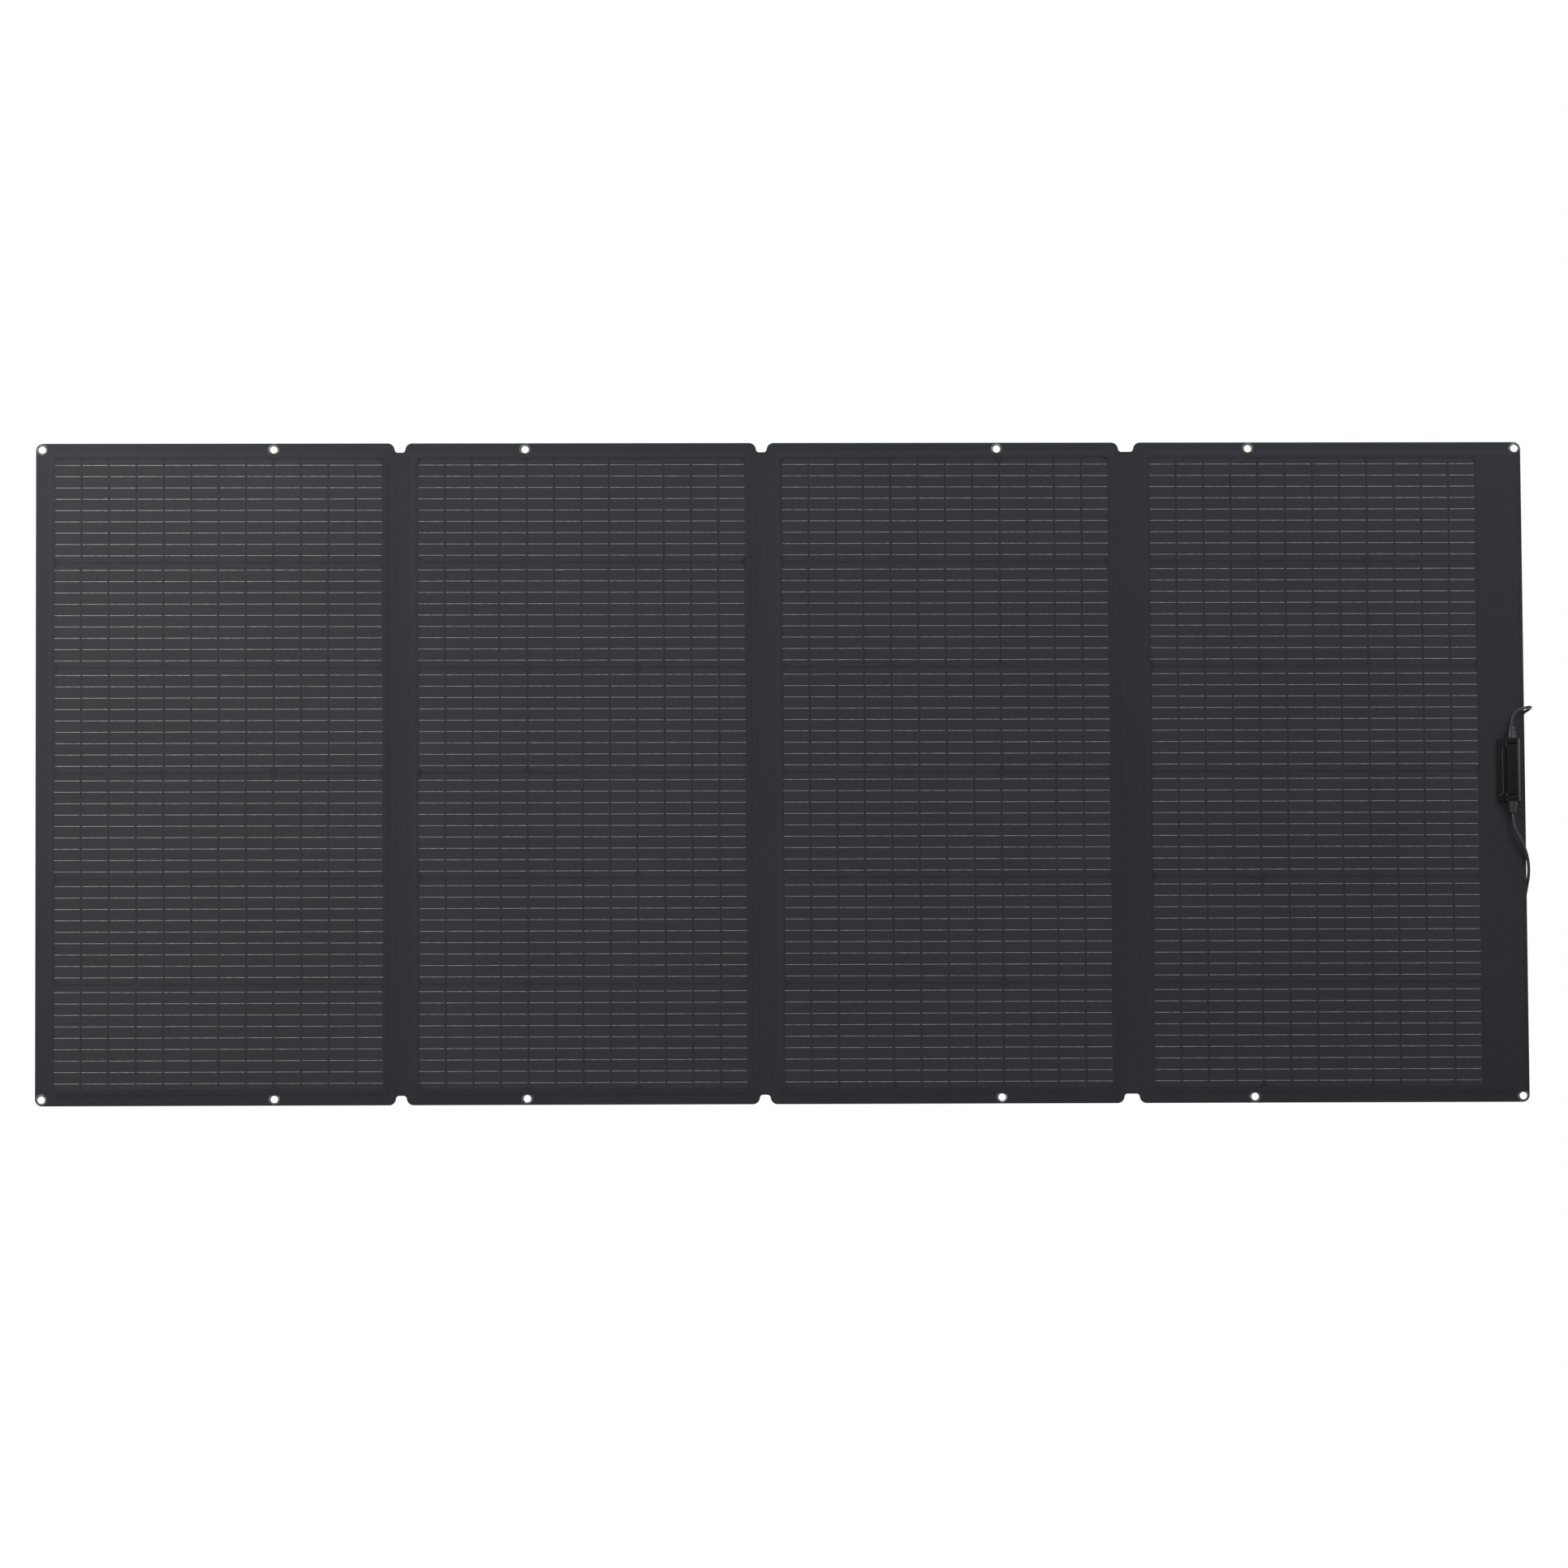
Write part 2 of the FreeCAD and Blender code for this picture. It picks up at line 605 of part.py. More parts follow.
def lead(name, tip, route):
    """A round lead along straight runs joined by tangent arcs."""
    diameter = read("lead_diameter")
    origin = FreeCAD.Vector(read("box_axis"), -read("gland_depth"), read(tip))
    points = [origin + FreeCAD.Vector(*step) for step in route]
    edges = []
    length = 0.0
    radii = []
    reached = points[0]
    for before, corner, after in zip(points, points[1:], points[2:]):
        into, out = (corner - before).normalize(), (after - corner).normalize()
        turn = math.acos(max(-1.0, min(1.0, into.dot(out))))
        setback = BEND_SHARE * min((corner - before).Length, (after - corner).Length)
        radius = setback / math.tan(turn / 2)
        first, last = corner - into * setback, corner + out * setback
        inward = (out - into).normalize()
        middle = corner + inward * (radius / math.cos(turn / 2) - radius)
        edges.append(Part.LineSegment(reached, first).toShape())
        edges.append(Part.Arc(first, middle, last).toShape())
        length += (first - reached).Length + radius * turn
        radii.append(radius)
        reached = last
    edges.append(Part.LineSegment(reached, points[-1]).toShape())
    length += (points[-1] - reached).Length
    path = Part.Wire(edges)
    ring = Part.Circle(points[0], points[1] - points[0], diameter / 2)
    profile = Part.Wire([ring.toShape()])
    tube = path.makePipeShell([profile], True, False)
    expected = math.pi * diameter ** 2 / 4 * length
    print(name, "length", round(length, 1), "volume share", round(tube.Volume / expected, 4))
    print(name, "radii", [round(value, 1) for value in radii])
    solid = doc.addObject("Part::Feature", name)
    solid.Shape = tube
    solid.Placement = FreeCAD.Placement()
    return solid


def connector_nut(name, end):
    """A clamp nut that tapers up to the lead; end is where the lead enters it."""
    x, y, z = end
    body = cone(name + "_body", "nut_diameter / 2", "nut_tip / 2", "nut_length / 2",
                x, y, f"{z} - nut_length / 2")
    ring = cylinder(name + "_ring", "nut_diameter / 2", "nut_length / 2", x, y, f"{z} - nut_length")
    return fuse(name, [body, ring])


def plug_shell(end):
    """A barrel with a slimmer nose that enters the other connector."""
    x, y, z = end
    top = f"{z} - nut_length"
    barrel = cylinder("plug_barrel", "shell_diameter / 2", "shell_length - nose_length",
                      x, y, f"{top} - shell_length + nose_length")
    nose = cylinder("plug_nose", "nose_diameter / 2", "nose_length", x, y, f"{top} - shell_length")
    bore = cylinder("plug_bore", "nose_bore / 2", "nose_length", x, y, f"{top} - shell_length")
    return cut("plug_shell", fuse("plug_outer", [barrel, nose]), bore)


def socket_shell(end):
    """A barrel with a deep round mouth."""
    x, y, z = end
    bottom = f"{z} - nut_length - shell_length"
    barrel = cylinder("socket_barrel", "shell_diameter / 2", "shell_length", x, y, bottom)
    mouth = cylinder("socket_mouth", "socket_bore / 2", "socket_depth", x, y, bottom)
    return cut("socket_shell", barrel, mouth)


def contact(name, end, depth):
    """The metal contact, standing on the floor of its cavity and set back from the mouth."""
    x, y, z = end
    bottom = f"{z} - nut_length - shell_length + contact_recess"
    return cylinder(name, "contact_diameter / 2", f"{depth} - contact_recess", x, y, bottom)


# ---------------------------------------------------------------- assembly

plug_end = route_end("upper_gland_tip", UPPER_ROUTE)
socket_end = route_end("lower_gland_tip", LOWER_ROUTE)
subparts = []
for leaf in range(1, 5):
    subparts += leaf_parts(leaf)
for fold in range(1, 4):
    subparts += fold_parts(fold)
subparts += [
    box_base(),
    box_gasket(),
    box_lid(),
    terminal_rails(),
    bypass_diodes(),
    gland("upper_gland", "-box_top", True),
    gland("lower_gland", "box_bottom", False),
    lead("upper_lead", "upper_gland_tip", UPPER_ROUTE),
    lead("lower_lead", "lower_gland_tip", LOWER_ROUTE),
    connector_nut("plug_nut", plug_end),
    plug_shell(plug_end),
    contact("plug_contact", plug_end, "nose_length"),
    connector_nut("socket_nut", socket_end),
    socket_shell(socket_end),
    contact("socket_contact", socket_end, "socket_depth"),
]
doc.recompute()

for thing in doc.Objects:
    if {"Invalid", "Error"} & set(thing.State):
        raise RuntimeError(thing.Name + " failed")
for subpart in subparts:
    if subpart.Shape.isNull() or not subpart.Shape.isValid():
        raise RuntimeError(subpart.Name + " has no valid shape")
for subpart in subparts:
    subpart.Label = subpart.Name
    subpart.Shape.exportStep(f"parts/{subpart.Label}.step")
print(len(subparts), "sub-parts")
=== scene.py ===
import math
import random

import bmesh
import bpy
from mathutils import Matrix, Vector, geometry, noise


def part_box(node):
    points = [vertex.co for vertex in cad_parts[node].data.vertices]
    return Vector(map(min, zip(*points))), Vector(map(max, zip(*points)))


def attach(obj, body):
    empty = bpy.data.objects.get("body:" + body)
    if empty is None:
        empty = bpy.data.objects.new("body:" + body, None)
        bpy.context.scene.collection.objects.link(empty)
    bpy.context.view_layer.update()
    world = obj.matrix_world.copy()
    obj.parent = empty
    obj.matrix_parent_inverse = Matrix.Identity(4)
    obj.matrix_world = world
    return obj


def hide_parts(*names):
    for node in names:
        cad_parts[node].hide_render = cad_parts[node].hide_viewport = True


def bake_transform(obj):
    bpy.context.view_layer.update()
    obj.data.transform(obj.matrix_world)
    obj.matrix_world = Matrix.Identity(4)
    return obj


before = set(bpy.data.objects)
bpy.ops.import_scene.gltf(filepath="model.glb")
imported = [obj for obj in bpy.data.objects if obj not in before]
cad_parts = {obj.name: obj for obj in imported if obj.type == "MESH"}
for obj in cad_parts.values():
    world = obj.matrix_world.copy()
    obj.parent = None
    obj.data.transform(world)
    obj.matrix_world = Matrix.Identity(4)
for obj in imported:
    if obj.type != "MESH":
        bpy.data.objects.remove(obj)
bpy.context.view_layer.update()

MM = 0.001
random.seed(7)

# A folding solar sheet: four stiff leaves of cells, three fabric folds, twelve eyelets, and a
# junction box with two leads. Sizes in tables marked mm are in millimetres, all others in metres.

# ---------------------------------------------------------------- the frame's own places

LEAVES = (1, 2, 3, 4)
FOLDS = (1, 2, 3)


def leaf_box(leaf):
    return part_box(f"leaf_{leaf}_back_fabric")


def matrix_box(leaf):
    """The field of cells of one leaf: lowest and highest corners."""
    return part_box(f"leaf_{leaf}_cells")


def eyelet_centres(leaf):
    """The x and z of every eyelet of one leaf, an eyelet's radius inside the box round them all."""
    low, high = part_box(f"leaf_{leaf}_eyelets")
    xs = sorted({round(low[0] + EYELET_RIM, 6), round(high[0] - EYELET_RIM, 6)})
    return [(x, z) for x in xs for z in (high[2] - EYELET_RIM, low[2] + EYELET_RIM)]


EYELET_RIM = 9 * MM
EYELET_BORE = 6 * MM
SKIN_HOLE = EYELET_BORE + 0.9 * MM
CORNER = 11 * MM
FILM_THICKNESS = 0.4 * MM
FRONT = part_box("leaf_1_string_links")[0][1] - 0.15 * MM
SKIN_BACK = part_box("leaf_1_back_fabric")[0][1]
BORDER = SKIN_BACK - FILM_THICKNESS
ROWS = 6
STRIPS = 12
RIBBONS = 9


# ---------------------------------------------------------------- camera and light

CAMERA_LENS = 262.71
CAMERA_PLACE = (-0.6145, -18.0, -2.83762)
CAMERA_TURN = (math.pi / 2 + 0.12702, 0.0065, -0.03348)
AMBIENT_COLOUR = (0.97, 0.985, 1.0, 1)
AMBIENT_STRENGTH = 0.15
FLOOR_LEVEL = -2.1
FLOOR_SIDES = (-3.2, 3.2)
FLOOR_FRONT_AND_BACK = (-2.8, 3.0)
FLOOR_GREY = 0.82


def make_camera():
    """The photograph's view: far off, a little below the sheet and looking slightly up."""
    data = bpy.data.cameras.new("camera")
    data.sensor_width = 36
    data.lens = CAMERA_LENS
    data.clip_start = 0.05
    data.clip_end = 100
    camera = bpy.data.objects.new("camera", data)
    camera.location = CAMERA_PLACE
    camera.rotation_euler = CAMERA_TURN
    bpy.context.scene.collection.objects.link(camera)
    bpy.context.scene.camera = camera


def area_light(name, place, target, width, height, power, colour):
    """A soft lamp that shines from one place towards another and isn't seen itself."""
    data = bpy.data.lights.new(name, "AREA")
    data.shape = "RECTANGLE"
    data.size = width
    data.size_y = height
    data.energy = power
    data.color = colour
    lamp = bpy.data.objects.new(name, data)
    lamp.location = place
    aim = Vector(target) - Vector(place)
    lamp.rotation_euler = aim.to_track_quat("-Z", "Y").to_euler()
    lamp.visible_camera = False
    bpy.context.scene.collection.objects.link(lamp)


def background_share(nodes, links):
    """1 for rays from the camera, a mirror or glass, and 0 for the light on the object."""
    path = nodes.new("ShaderNodeLightPath")
    first = nodes.new("ShaderNodeMath")
    first.operation = "MAXIMUM"
    second = nodes.new("ShaderNodeMath")
    second.operation = "MAXIMUM"
    links.new(path.outputs["Is Camera Ray"], first.inputs[0])
    links.new(path.outputs["Is Glossy Ray"], first.inputs[1])
    links.new(first.outputs[0], second.inputs[0])
    links.new(path.outputs["Is Transmission Ray"], second.inputs[1])
    return second.outputs[0]


def make_world():
    """White where it is seen or mirrored, and a faint even light on the object."""
    world = bpy.data.worlds.new("studio")
    world.use_nodes = True
    nodes, links = world.node_tree.nodes, world.node_tree.links
    nodes.clear()
    ambient = nodes.new("ShaderNodeBackground")
    ambient.inputs["Color"].default_value = AMBIENT_COLOUR
    ambient.inputs["Strength"].default_value = AMBIENT_STRENGTH
    white = nodes.new("ShaderNodeBackground")
    white.inputs["Color"].default_value = (1, 1, 1, 1)
    white.inputs["Strength"].default_value = 1.0
    mix = nodes.new("ShaderNodeMixShader")
    out = nodes.new("ShaderNodeOutputWorld")
    links.new(background_share(nodes, links), mix.inputs[0])
    links.new(ambient.outputs[0], mix.inputs[1])
    links.new(white.outputs[0], mix.inputs[2])
    links.new(mix.outputs[0], out.inputs["Surface"])
    bpy.context.scene.world = world


def make_floor():
    """A pale floor under the hanging sheet, ending below the camera's view."""
    left, right = FLOOR_SIDES
    front, back = FLOOR_FRONT_AND_BACK
    points = [(left, front, FLOOR_LEVEL), (right, front, FLOOR_LEVEL),
              (right, back, FLOOR_LEVEL), (left, back, FLOOR_LEVEL)]
    mesh = bpy.data.meshes.new("floor")
    mesh.from_pydata(points, [], [(0, 1, 2, 3)])
    floor = bpy.data.objects.new("floor", mesh)
    bpy.context.scene.collection.objects.link(floor)
    material = bpy.data.materials.new("pale_floor")
    material.use_nodes = True
    shader = material.node_tree.nodes["Principled BSDF"]
    shader.inputs["Base Color"].default_value = (FLOOR_GREY, FLOOR_GREY, FLOOR_GREY, 1)
    shader.inputs["Roughness"].default_value = 0.8
    mesh.materials.append(material)


make_camera()
make_world()
make_floor()
area_light("key", (-1.77, -1.3, 0.48), (-0.4, 0, -0.3), 2.0, 2.0, 50, (1, 0.995, 0.95))
area_light("side", (2.1, -1.4, 0.93), (1.1, 0, 0.1), 0.9, 1.2, 26, (0.97, 1, 1.04))
area_light("top", (0.3, -0.2, 2.9), (0.3, -0.2, 0), 4.0, 2.4, 110, (1, 1, 1))
area_light("back", (0.6, 3.4, 1.6), (0, 0, -0.5), 2.6, 2.6, 140, (1, 1, 1))


# ---------------------------------------------------------------- materials

METRE_BAND_SCALE = 0.314159  # the wave texture's scale at which its bands are a metre apart
MIX_SOCKETS = (0, 6, 7)      # the mix node's share and its two colours
PRESS_PITCH = 2.6 * MM
WEAVE_PITCH = 0.9 * MM
FIBRE_PITCH = 2 * MM


class Paint:
    """A node material built step by step around one Principled shader."""

    def __init__(self, name, colour, roughness, specular=0.5, metallic=0.0):
        self.material = bpy.data.materials.new(name)
        self.material.use_nodes = True
        self.nodes = self.material.node_tree.nodes
        self.links = self.material.node_tree.links
        self.shader = self.nodes["Principled BSDF"]
        self.shader.inputs["Base Color"].default_value = (*colour, 1)
        self.shader.inputs["Roughness"].default_value = roughness
        self.shader.inputs["Specular IOR Level"].default_value = specular
        self.shader.inputs["Metallic"].default_value = metallic
        self.height = None
        self.coordinates = self.nodes.new("ShaderNodeTexCoord").outputs["Object"]

    def math(self, operation, first, second):
        node = self.nodes.new("ShaderNodeMath")
        node.operation = operation
        for socket, value in zip(node.inputs, (first, second)):
            if isinstance(value, (int, float)):
                socket.default_value = value
            else:
                self.links.new(value, socket)
        return node.outputs[0]

    def stretched(self, scale):
        node = self.nodes.new("ShaderNodeMapping")
        node.inputs["Scale"].default_value = scale
        self.links.new(self.coordinates, node.inputs["Vector"])
        return node.outputs["Vector"]

    def noise(self, scale, detail=3, vector=None):
        node = self.nodes.new("ShaderNodeTexNoise")
        node.inputs["Scale"].default_value = scale
        node.inputs["Detail"].default_value = detail
        self.links.new(vector or self.coordinates, node.inputs["Vector"])
        return node.outputs["Fac"]

    def bands(self, axis, pitch, distortion=0.0):
        """Smooth parallel bands across one axis, pitch metres apart."""
        node = self.nodes.new("ShaderNodeTexWave")
        node.wave_type = "BANDS"
        node.bands_direction = axis
        node.inputs["Scale"].default_value = METRE_BAND_SCALE / pitch
        node.inputs["Distortion"].default_value = distortion
        self.links.new(self.coordinates, node.inputs["Vector"])
        return node.outputs["Fac"]

    def ramp(self, value, stops):
        node = self.nodes.new("ShaderNodeValToRGB")
        elements = node.color_ramp.elements
        while len(elements) < len(stops):
            elements.new(0.5)
        for element, (place, colour) in zip(elements, stops):
            element.position = place
            element.color = (*colour, 1)
        self.links.new(value, node.inputs["Fac"])
        return node.outputs["Color"]

    def mix(self, share, first, second):
        node = self.nodes.new("ShaderNodeMix")
        node.data_type = "RGBA"
        for place, value in zip(MIX_SOCKETS, (share, first, second)):
            socket = node.inputs[place]
            if isinstance(value, (int, float)):
                socket.default_value = value
            elif isinstance(value, tuple):
                socket.default_value = (*value, 1)
            else:
                self.links.new(value, socket)
        return node.outputs[2]

    def paint(self, colour):
        self.links.new(colour, self.shader.inputs["Base Color"])

    def rough(self, value, low, high):
        node = self.nodes.new("ShaderNodeMapRange")
        node.inputs["To Min"].default_value = low
        node.inputs["To Max"].default_value = high
        self.links.new(value, node.inputs["Value"])
        self.links.new(node.outputs["Result"], self.shader.inputs["Roughness"])

    def bump(self, height, strength, distance):
        node = self.nodes.new("ShaderNodeBump")
        node.inputs["Strength"].default_value = strength
        node.inputs["Distance"].default_value = distance
        self.links.new(height, node.inputs["Height"])
        if self.height is not None:
            self.links.new(self.height, node.inputs["Normal"])
        self.height = node.outputs["Normal"]
        self.links.new(self.height, self.shader.inputs["Normal"])


def tinted(colour, share):
    return tuple(channel * share for channel in colour)


def film_material():
    """Matte black film with a fine woven press mark, a little uneven all over."""
    base = (0.0248, 0.0259, 0.0307)
    paint = Paint("black_film", base, 0.6, specular=0.08)
    cloudy = paint.ramp(paint.noise(2.2, 4), [(0.3, tinted(base, 0.92)), (0.7, tinted(base, 1.1))])
    woven = paint.math("MULTIPLY", paint.bands("X", PRESS_PITCH), paint.bands("Z", PRESS_PITCH))
    share = paint.math("MULTIPLY", woven, 0.22)
    speckled = paint.mix(share, cloudy, tinted(base, 1.6))
    specks = paint.math("GREATER_THAN", paint.noise(620, 1), 0.66)
    paint.paint(paint.mix(paint.math("MULTIPLY", specks, 0.3), speckled, tinted(base, 1.9)))
    paint.bump(woven, 0.3, 0.08 * MM)
    paint.bump(paint.noise(900, 2), 0.2, 0.06 * MM)
    paint.bump(paint.noise(14, 2), 0.2, 0.5 * MM)
    paint.rough(paint.noise(60, 3), 0.52, 0.68)
    return paint.material


def cell_material():
    """Blue-black silicon under matte film, with fine upright finger lines."""
    base = (0.0284, 0.03, 0.0343)
    paint = Paint("silicon", base, 0.55, specular=0.08)
    shade = paint.ramp(paint.noise(3.0, 3), [(0.3, tinted(base, 0.93)), (0.7, tinted(base, 1.08))])
    fingers = paint.bands("X", PRESS_PITCH)
    lined = paint.mix(paint.math("MULTIPLY", fingers, 0.12), shade, tinted(base, 1.6))
    specks = paint.math("GREATER_THAN", paint.noise(620, 1), 0.67)
    paint.paint(paint.mix(paint.math("MULTIPLY", specks, 0.3), lined, tinted(base, 1.9)))
    paint.bump(paint.noise(900, 2), 0.15, 0.05 * MM)
    paint.rough(paint.noise(25, 2), 0.5, 0.6)
    return paint.material


def ribbon_material():
    """Dull tinned copper, brighter and darker along its length."""
    base = (0.162, 0.163, 0.167)
    paint = Paint("tinned_ribbon", base, 0.45, specular=0.4, metallic=0.4)
    streaks = paint.noise(1.0, 3, paint.stretched((120, 30, 60)))
    paint.paint(paint.ramp(streaks, [(0.3, tinted(base, 0.6)), (0.7, tinted(base, 1.35))]))
    paint.bump(paint.noise(1.0, 2, paint.stretched((400, 300, 900))), 0.4, 0.05 * MM)
    paint.rough(streaks, 0.35, 0.55)
    return paint.material


def fabric_material():
    """Coarse black polyester in a plain weave."""
    base = (0.026, 0.0267, 0.0295)
    paint = Paint("black_fabric", base, 0.85, specular=0.25)
    across, along = paint.bands("X", WEAVE_PITCH, 0.4), paint.bands("Z", WEAVE_PITCH, 0.4)
    weave = paint.math("MAXIMUM", across, along)
    shade = paint.ramp(weave, [(0.2, tinted(base, 0.55)), (0.9, tinted(base, 1.3))])
    cloudy = paint.noise(5, 4)
    worn = paint.ramp(cloudy, [(0.35, tinted(base, 0.8)), (0.7, tinted(base, 1.25))])
    paint.paint(paint.mix(0.4, shade, worn))
    paint.bump(weave, 0.7, 0.2 * MM)
    paint.bump(paint.noise(1300, 2), 0.3, 0.08 * MM)
    paint.bump(paint.noise(9, 3), 0.35, 1.2 * MM)
    paint.shader.inputs["Sheen Weight"].default_value = 0.08
    return paint.material


def resin_material():
    """Black encapsulant, seen only in the narrow gaps between the cells."""
    base = (0.0251, 0.0263, 0.0305)
    paint = Paint("black_resin", base, 0.6, specular=0.08)
    cloudy = paint.noise(40, 3)
    paint.paint(paint.ramp(cloudy, [(0.3, tinted(base, 0.8)), (0.7, tinted(base, 1.2))]))
    paint.bump(paint.noise(700, 2), 0.2, 0.05 * MM)
    return paint.material


def eyelet_material():
    """Black-finished metal with a little wear in patches all over."""
    base = (0.05, 0.051, 0.054)
    paint = Paint("black_metal", base, 0.4, specular=0.4, metallic=0.4)
    worn = paint.noise(240, 4)
    paint.paint(paint.ramp(worn, [(0.45, base), (0.8, (0.2, 0.2, 0.205))]))
    paint.rough(worn, 0.34, 0.55)
    paint.bump(paint.noise(1500, 2), 0.2, 0.04 * MM)
    return paint.material


def moulded_material(name, base, low, high, specular):
    """Moulded black plastic or rubber with a fine spark-eroded grain."""
    paint = Paint(name, base, (low + high) / 2, specular=specular)
    cloudy = paint.noise(45, 4)
    paint.paint(paint.ramp(cloudy, [(0.3, tinted(base, 0.75)), (0.75, tinted(base, 1.35))]))
    paint.bump(paint.noise(1800, 3), 0.3, 0.07 * MM)
    paint.rough(paint.noise(120, 3), low, high)
    return paint.material


def board_material():
    """Grey glass-fibre board with a crossed fibre pattern."""
    base = (0.07, 0.07, 0.074)
    paint = Paint("glass_fibre_board", base, 0.6, specular=0.35)
    across, along = paint.bands("X", FIBRE_PITCH, 1.0), paint.bands("Z", FIBRE_PITCH, 1.0)
    fibres = paint.math("MAXIMUM", across, along)
    paint.paint(paint.ramp(fibres, [(0.2, tinted(base, 0.7)), (0.9, tinted(base, 1.25))]))
    paint.bump(fibres, 0.3, 0.05 * MM)
    return paint.material


FILM = film_material()
SILICON = cell_material()
RIBBON = ribbon_material()
FABRIC = fabric_material()
RESIN = resin_material()
BLACK_METAL = eyelet_material()
BOARD = board_material()
BOX_PLASTIC = moulded_material("box_plastic", (0.0069, 0.0069, 0.0066), 0.4, 0.52, 0.07)
# A lighter copy of the box plastic: painted highlight lines on the junction box.
BOX_PAINTED_HIGHLIGHT = moulded_material("box_painted_highlight", (0.069, 0.07, 0.075), 0.4, 0.5, 0.3)
GLAND_RUBBER = moulded_material("gland_rubber", (0.0165, 0.017, 0.0184), 0.28, 0.38, 0.3)
JACKET = moulded_material("lead_jacket", (0.013, 0.0136, 0.0149), 0.24, 0.34, 0.35)
CONNECTOR = moulded_material("connector_plastic", (0.0112, 0.0112, 0.0118), 0.35, 0.5, 0.3)
CONTACT = moulded_material("tinned_contact", (0.5, 0.48, 0.44), 0.25, 0.4, 0.5)
CONTACT.node_tree.nodes["Principled BSDF"].inputs["Metallic"].default_value = 0.9


# ---------------------------------------------------------------- mesh helpers

def new_object(name, mesh, material, body, smooth=True):
    thing = bpy.data.objects.new(name, mesh)
    bpy.context.scene.collection.objects.link(thing)
    mesh.materials.append(material)
    if smooth:
        mesh.shade_smooth()
    if body:
        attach(thing, body)
    return thing


def finish_mesh(name, built, sharp=math.radians(35)):
    """A mesh with its faces turned outwards, creased where they meet at more than an angle."""
    mesh = bpy.data.meshes.new(name)
    bmesh.ops.recalc_face_normals(built, faces=built.faces)
    for edge in built.edges:
        if len(edge.link_faces) == 2 and edge.calc_face_angle(0) > sharp:
            edge.smooth = False
    built.to_mesh(mesh)
    built.free()
    return mesh


def arc_points(centre, radius, start, end, steps):
    points = []
    for k in range(steps + 1):
        angle = start + (end - start) * k / steps
        points.append((centre[0] + radius * math.cos(angle), centre[1] + radius * math.sin(angle)))
    return points


def rounded_rectangle(low, high, radius, steps=8):
    """The outline of a rectangle in x and z with round corners, anticlockwise."""
    quarter = math.pi / 2
    corners = [((high[0] - radius, high[1] - radius), 0), ((low[0] + radius, high[1] - radius), 1),
               ((low[0] + radius, low[1] + radius), 2), ((high[0] - radius, low[1] + radius), 3)]
    points = []
    for centre, turn in corners:
        points += arc_points(centre, radius, turn * quarter, (turn + 1) * quarter, steps)
    return points


def rectangle(low, high):
    return [low, (high[0], low[1]), high, (low[0], high[1])]


def circle_points(centre, radius, steps=40):
    return arc_points(centre, radius, 0, 2 * math.pi, steps)[:-1]


def subdivided(loop, step):
    """The same loop with points at most step apart."""
    points = []
    for k, point in enumerate(loop):
        after = loop[(k + 1) % len(loop)]
        span = math.dist(point, after)
        pieces = max(1, math.ceil(span / step))
        for j in range(pieces):
            share = j / pieces
            points.append((point[0] + (after[0] - point[0]) * share,
                           point[1] + (after[1] - point[1]) * share))
    return points


def inside(point, loop):
    """True where a point lies inside a closed loop."""
    x, z = point
    found = False
    for k, (x0, z0) in enumerate(loop):
        x1, z1 = loop[k - 1]
        if (z0 > z) != (z1 > z) and x < (x1 - x0) * (z - z0) / (z1 - z0) + x0:
            found = not found
    return found


def filled(outline, holes, lines, grid):
    """Triangles that fill an outline less its holes, with extra loops and loose points."""
    points = []
    edges = []
    for loop in [outline, *holes, *lines]:
        first = len(points)
        points += loop
        edges += [(first + k, first + (k + 1) % len(loop)) for k in range(len(loop))]
    points += grid
    result = geometry.delaunay_2d_cdt([Vector(p) for p in points], edges, [], 0, 1e-7)
    flat, faces = result[0], result[2]
    kept = []
    for face in faces:
        middle = sum((flat[k] for k in face), Vector((0, 0))) / len(face)
        if inside(middle, outline) and not any(inside(middle, hole) for hole in holes):
            kept.append(face)
    return [tuple(point) for point in flat], kept


def shell(flat, faces, front, back):
    """A closed sheet: front and back give the y of each face at x, z."""
    built = bmesh.new()
    used = sorted({k for face in faces for k in face})
    fore = {k: built.verts.new((flat[k][0], front(*flat[k]), flat[k][1])) for k in used}
    aft = {k: built.verts.new((flat[k][0], back(*flat[k]), flat[k][1])) for k in used}
    rim = {}
    for face in faces:
        built.faces.new([fore[k] for k in face])
        built.faces.new([aft[k] for k in reversed(face)])
        for j, k in enumerate(face):
            after = face[(j + 1) % len(face)]
            if (after, k) in rim:
                del rim[(after, k)]
            else:
                rim[(k, after)] = True
    for k, after in rim:
        built.faces.new([fore[after], fore[k], aft[k], aft[after]])
    return built


def bridge(built, first, second):
    """Faces between two rings with as many vertices."""
    for k in range(len(first)):
        after = (k + 1) % len(first)
        built.faces.new([first[k], first[after], second[after], second[k]])


def prism(built, first, second):
    """A solid between two end outlines with as many vertices."""
    bridge(built, first, second)
    built.faces.new(first)
    built.faces.new(list(reversed(second)))


def lathe(built, centre, axis, profile, steps=40):
    """Turn a closed profile of (radius, height) round an axis through the centre."""
    axis = Vector(axis).normalized()
    side = axis.orthogonal().normalized()
    other = axis.cross(side)
    rings = []
    for radius, height in profile:
        ring = []
        for k in range(steps):
            angle = 2 * math.pi * k / steps
            out = side * math.cos(angle) + other * math.sin(angle)
            ring.append(built.verts.new(Vector(centre) + axis * height + out * radius))
        rings.append(ring)
    for first, second in zip(rings, rings[1:] + rings[:1]):
        bridge(built, first, second)


# ---------------------------------------------------------------- leaves

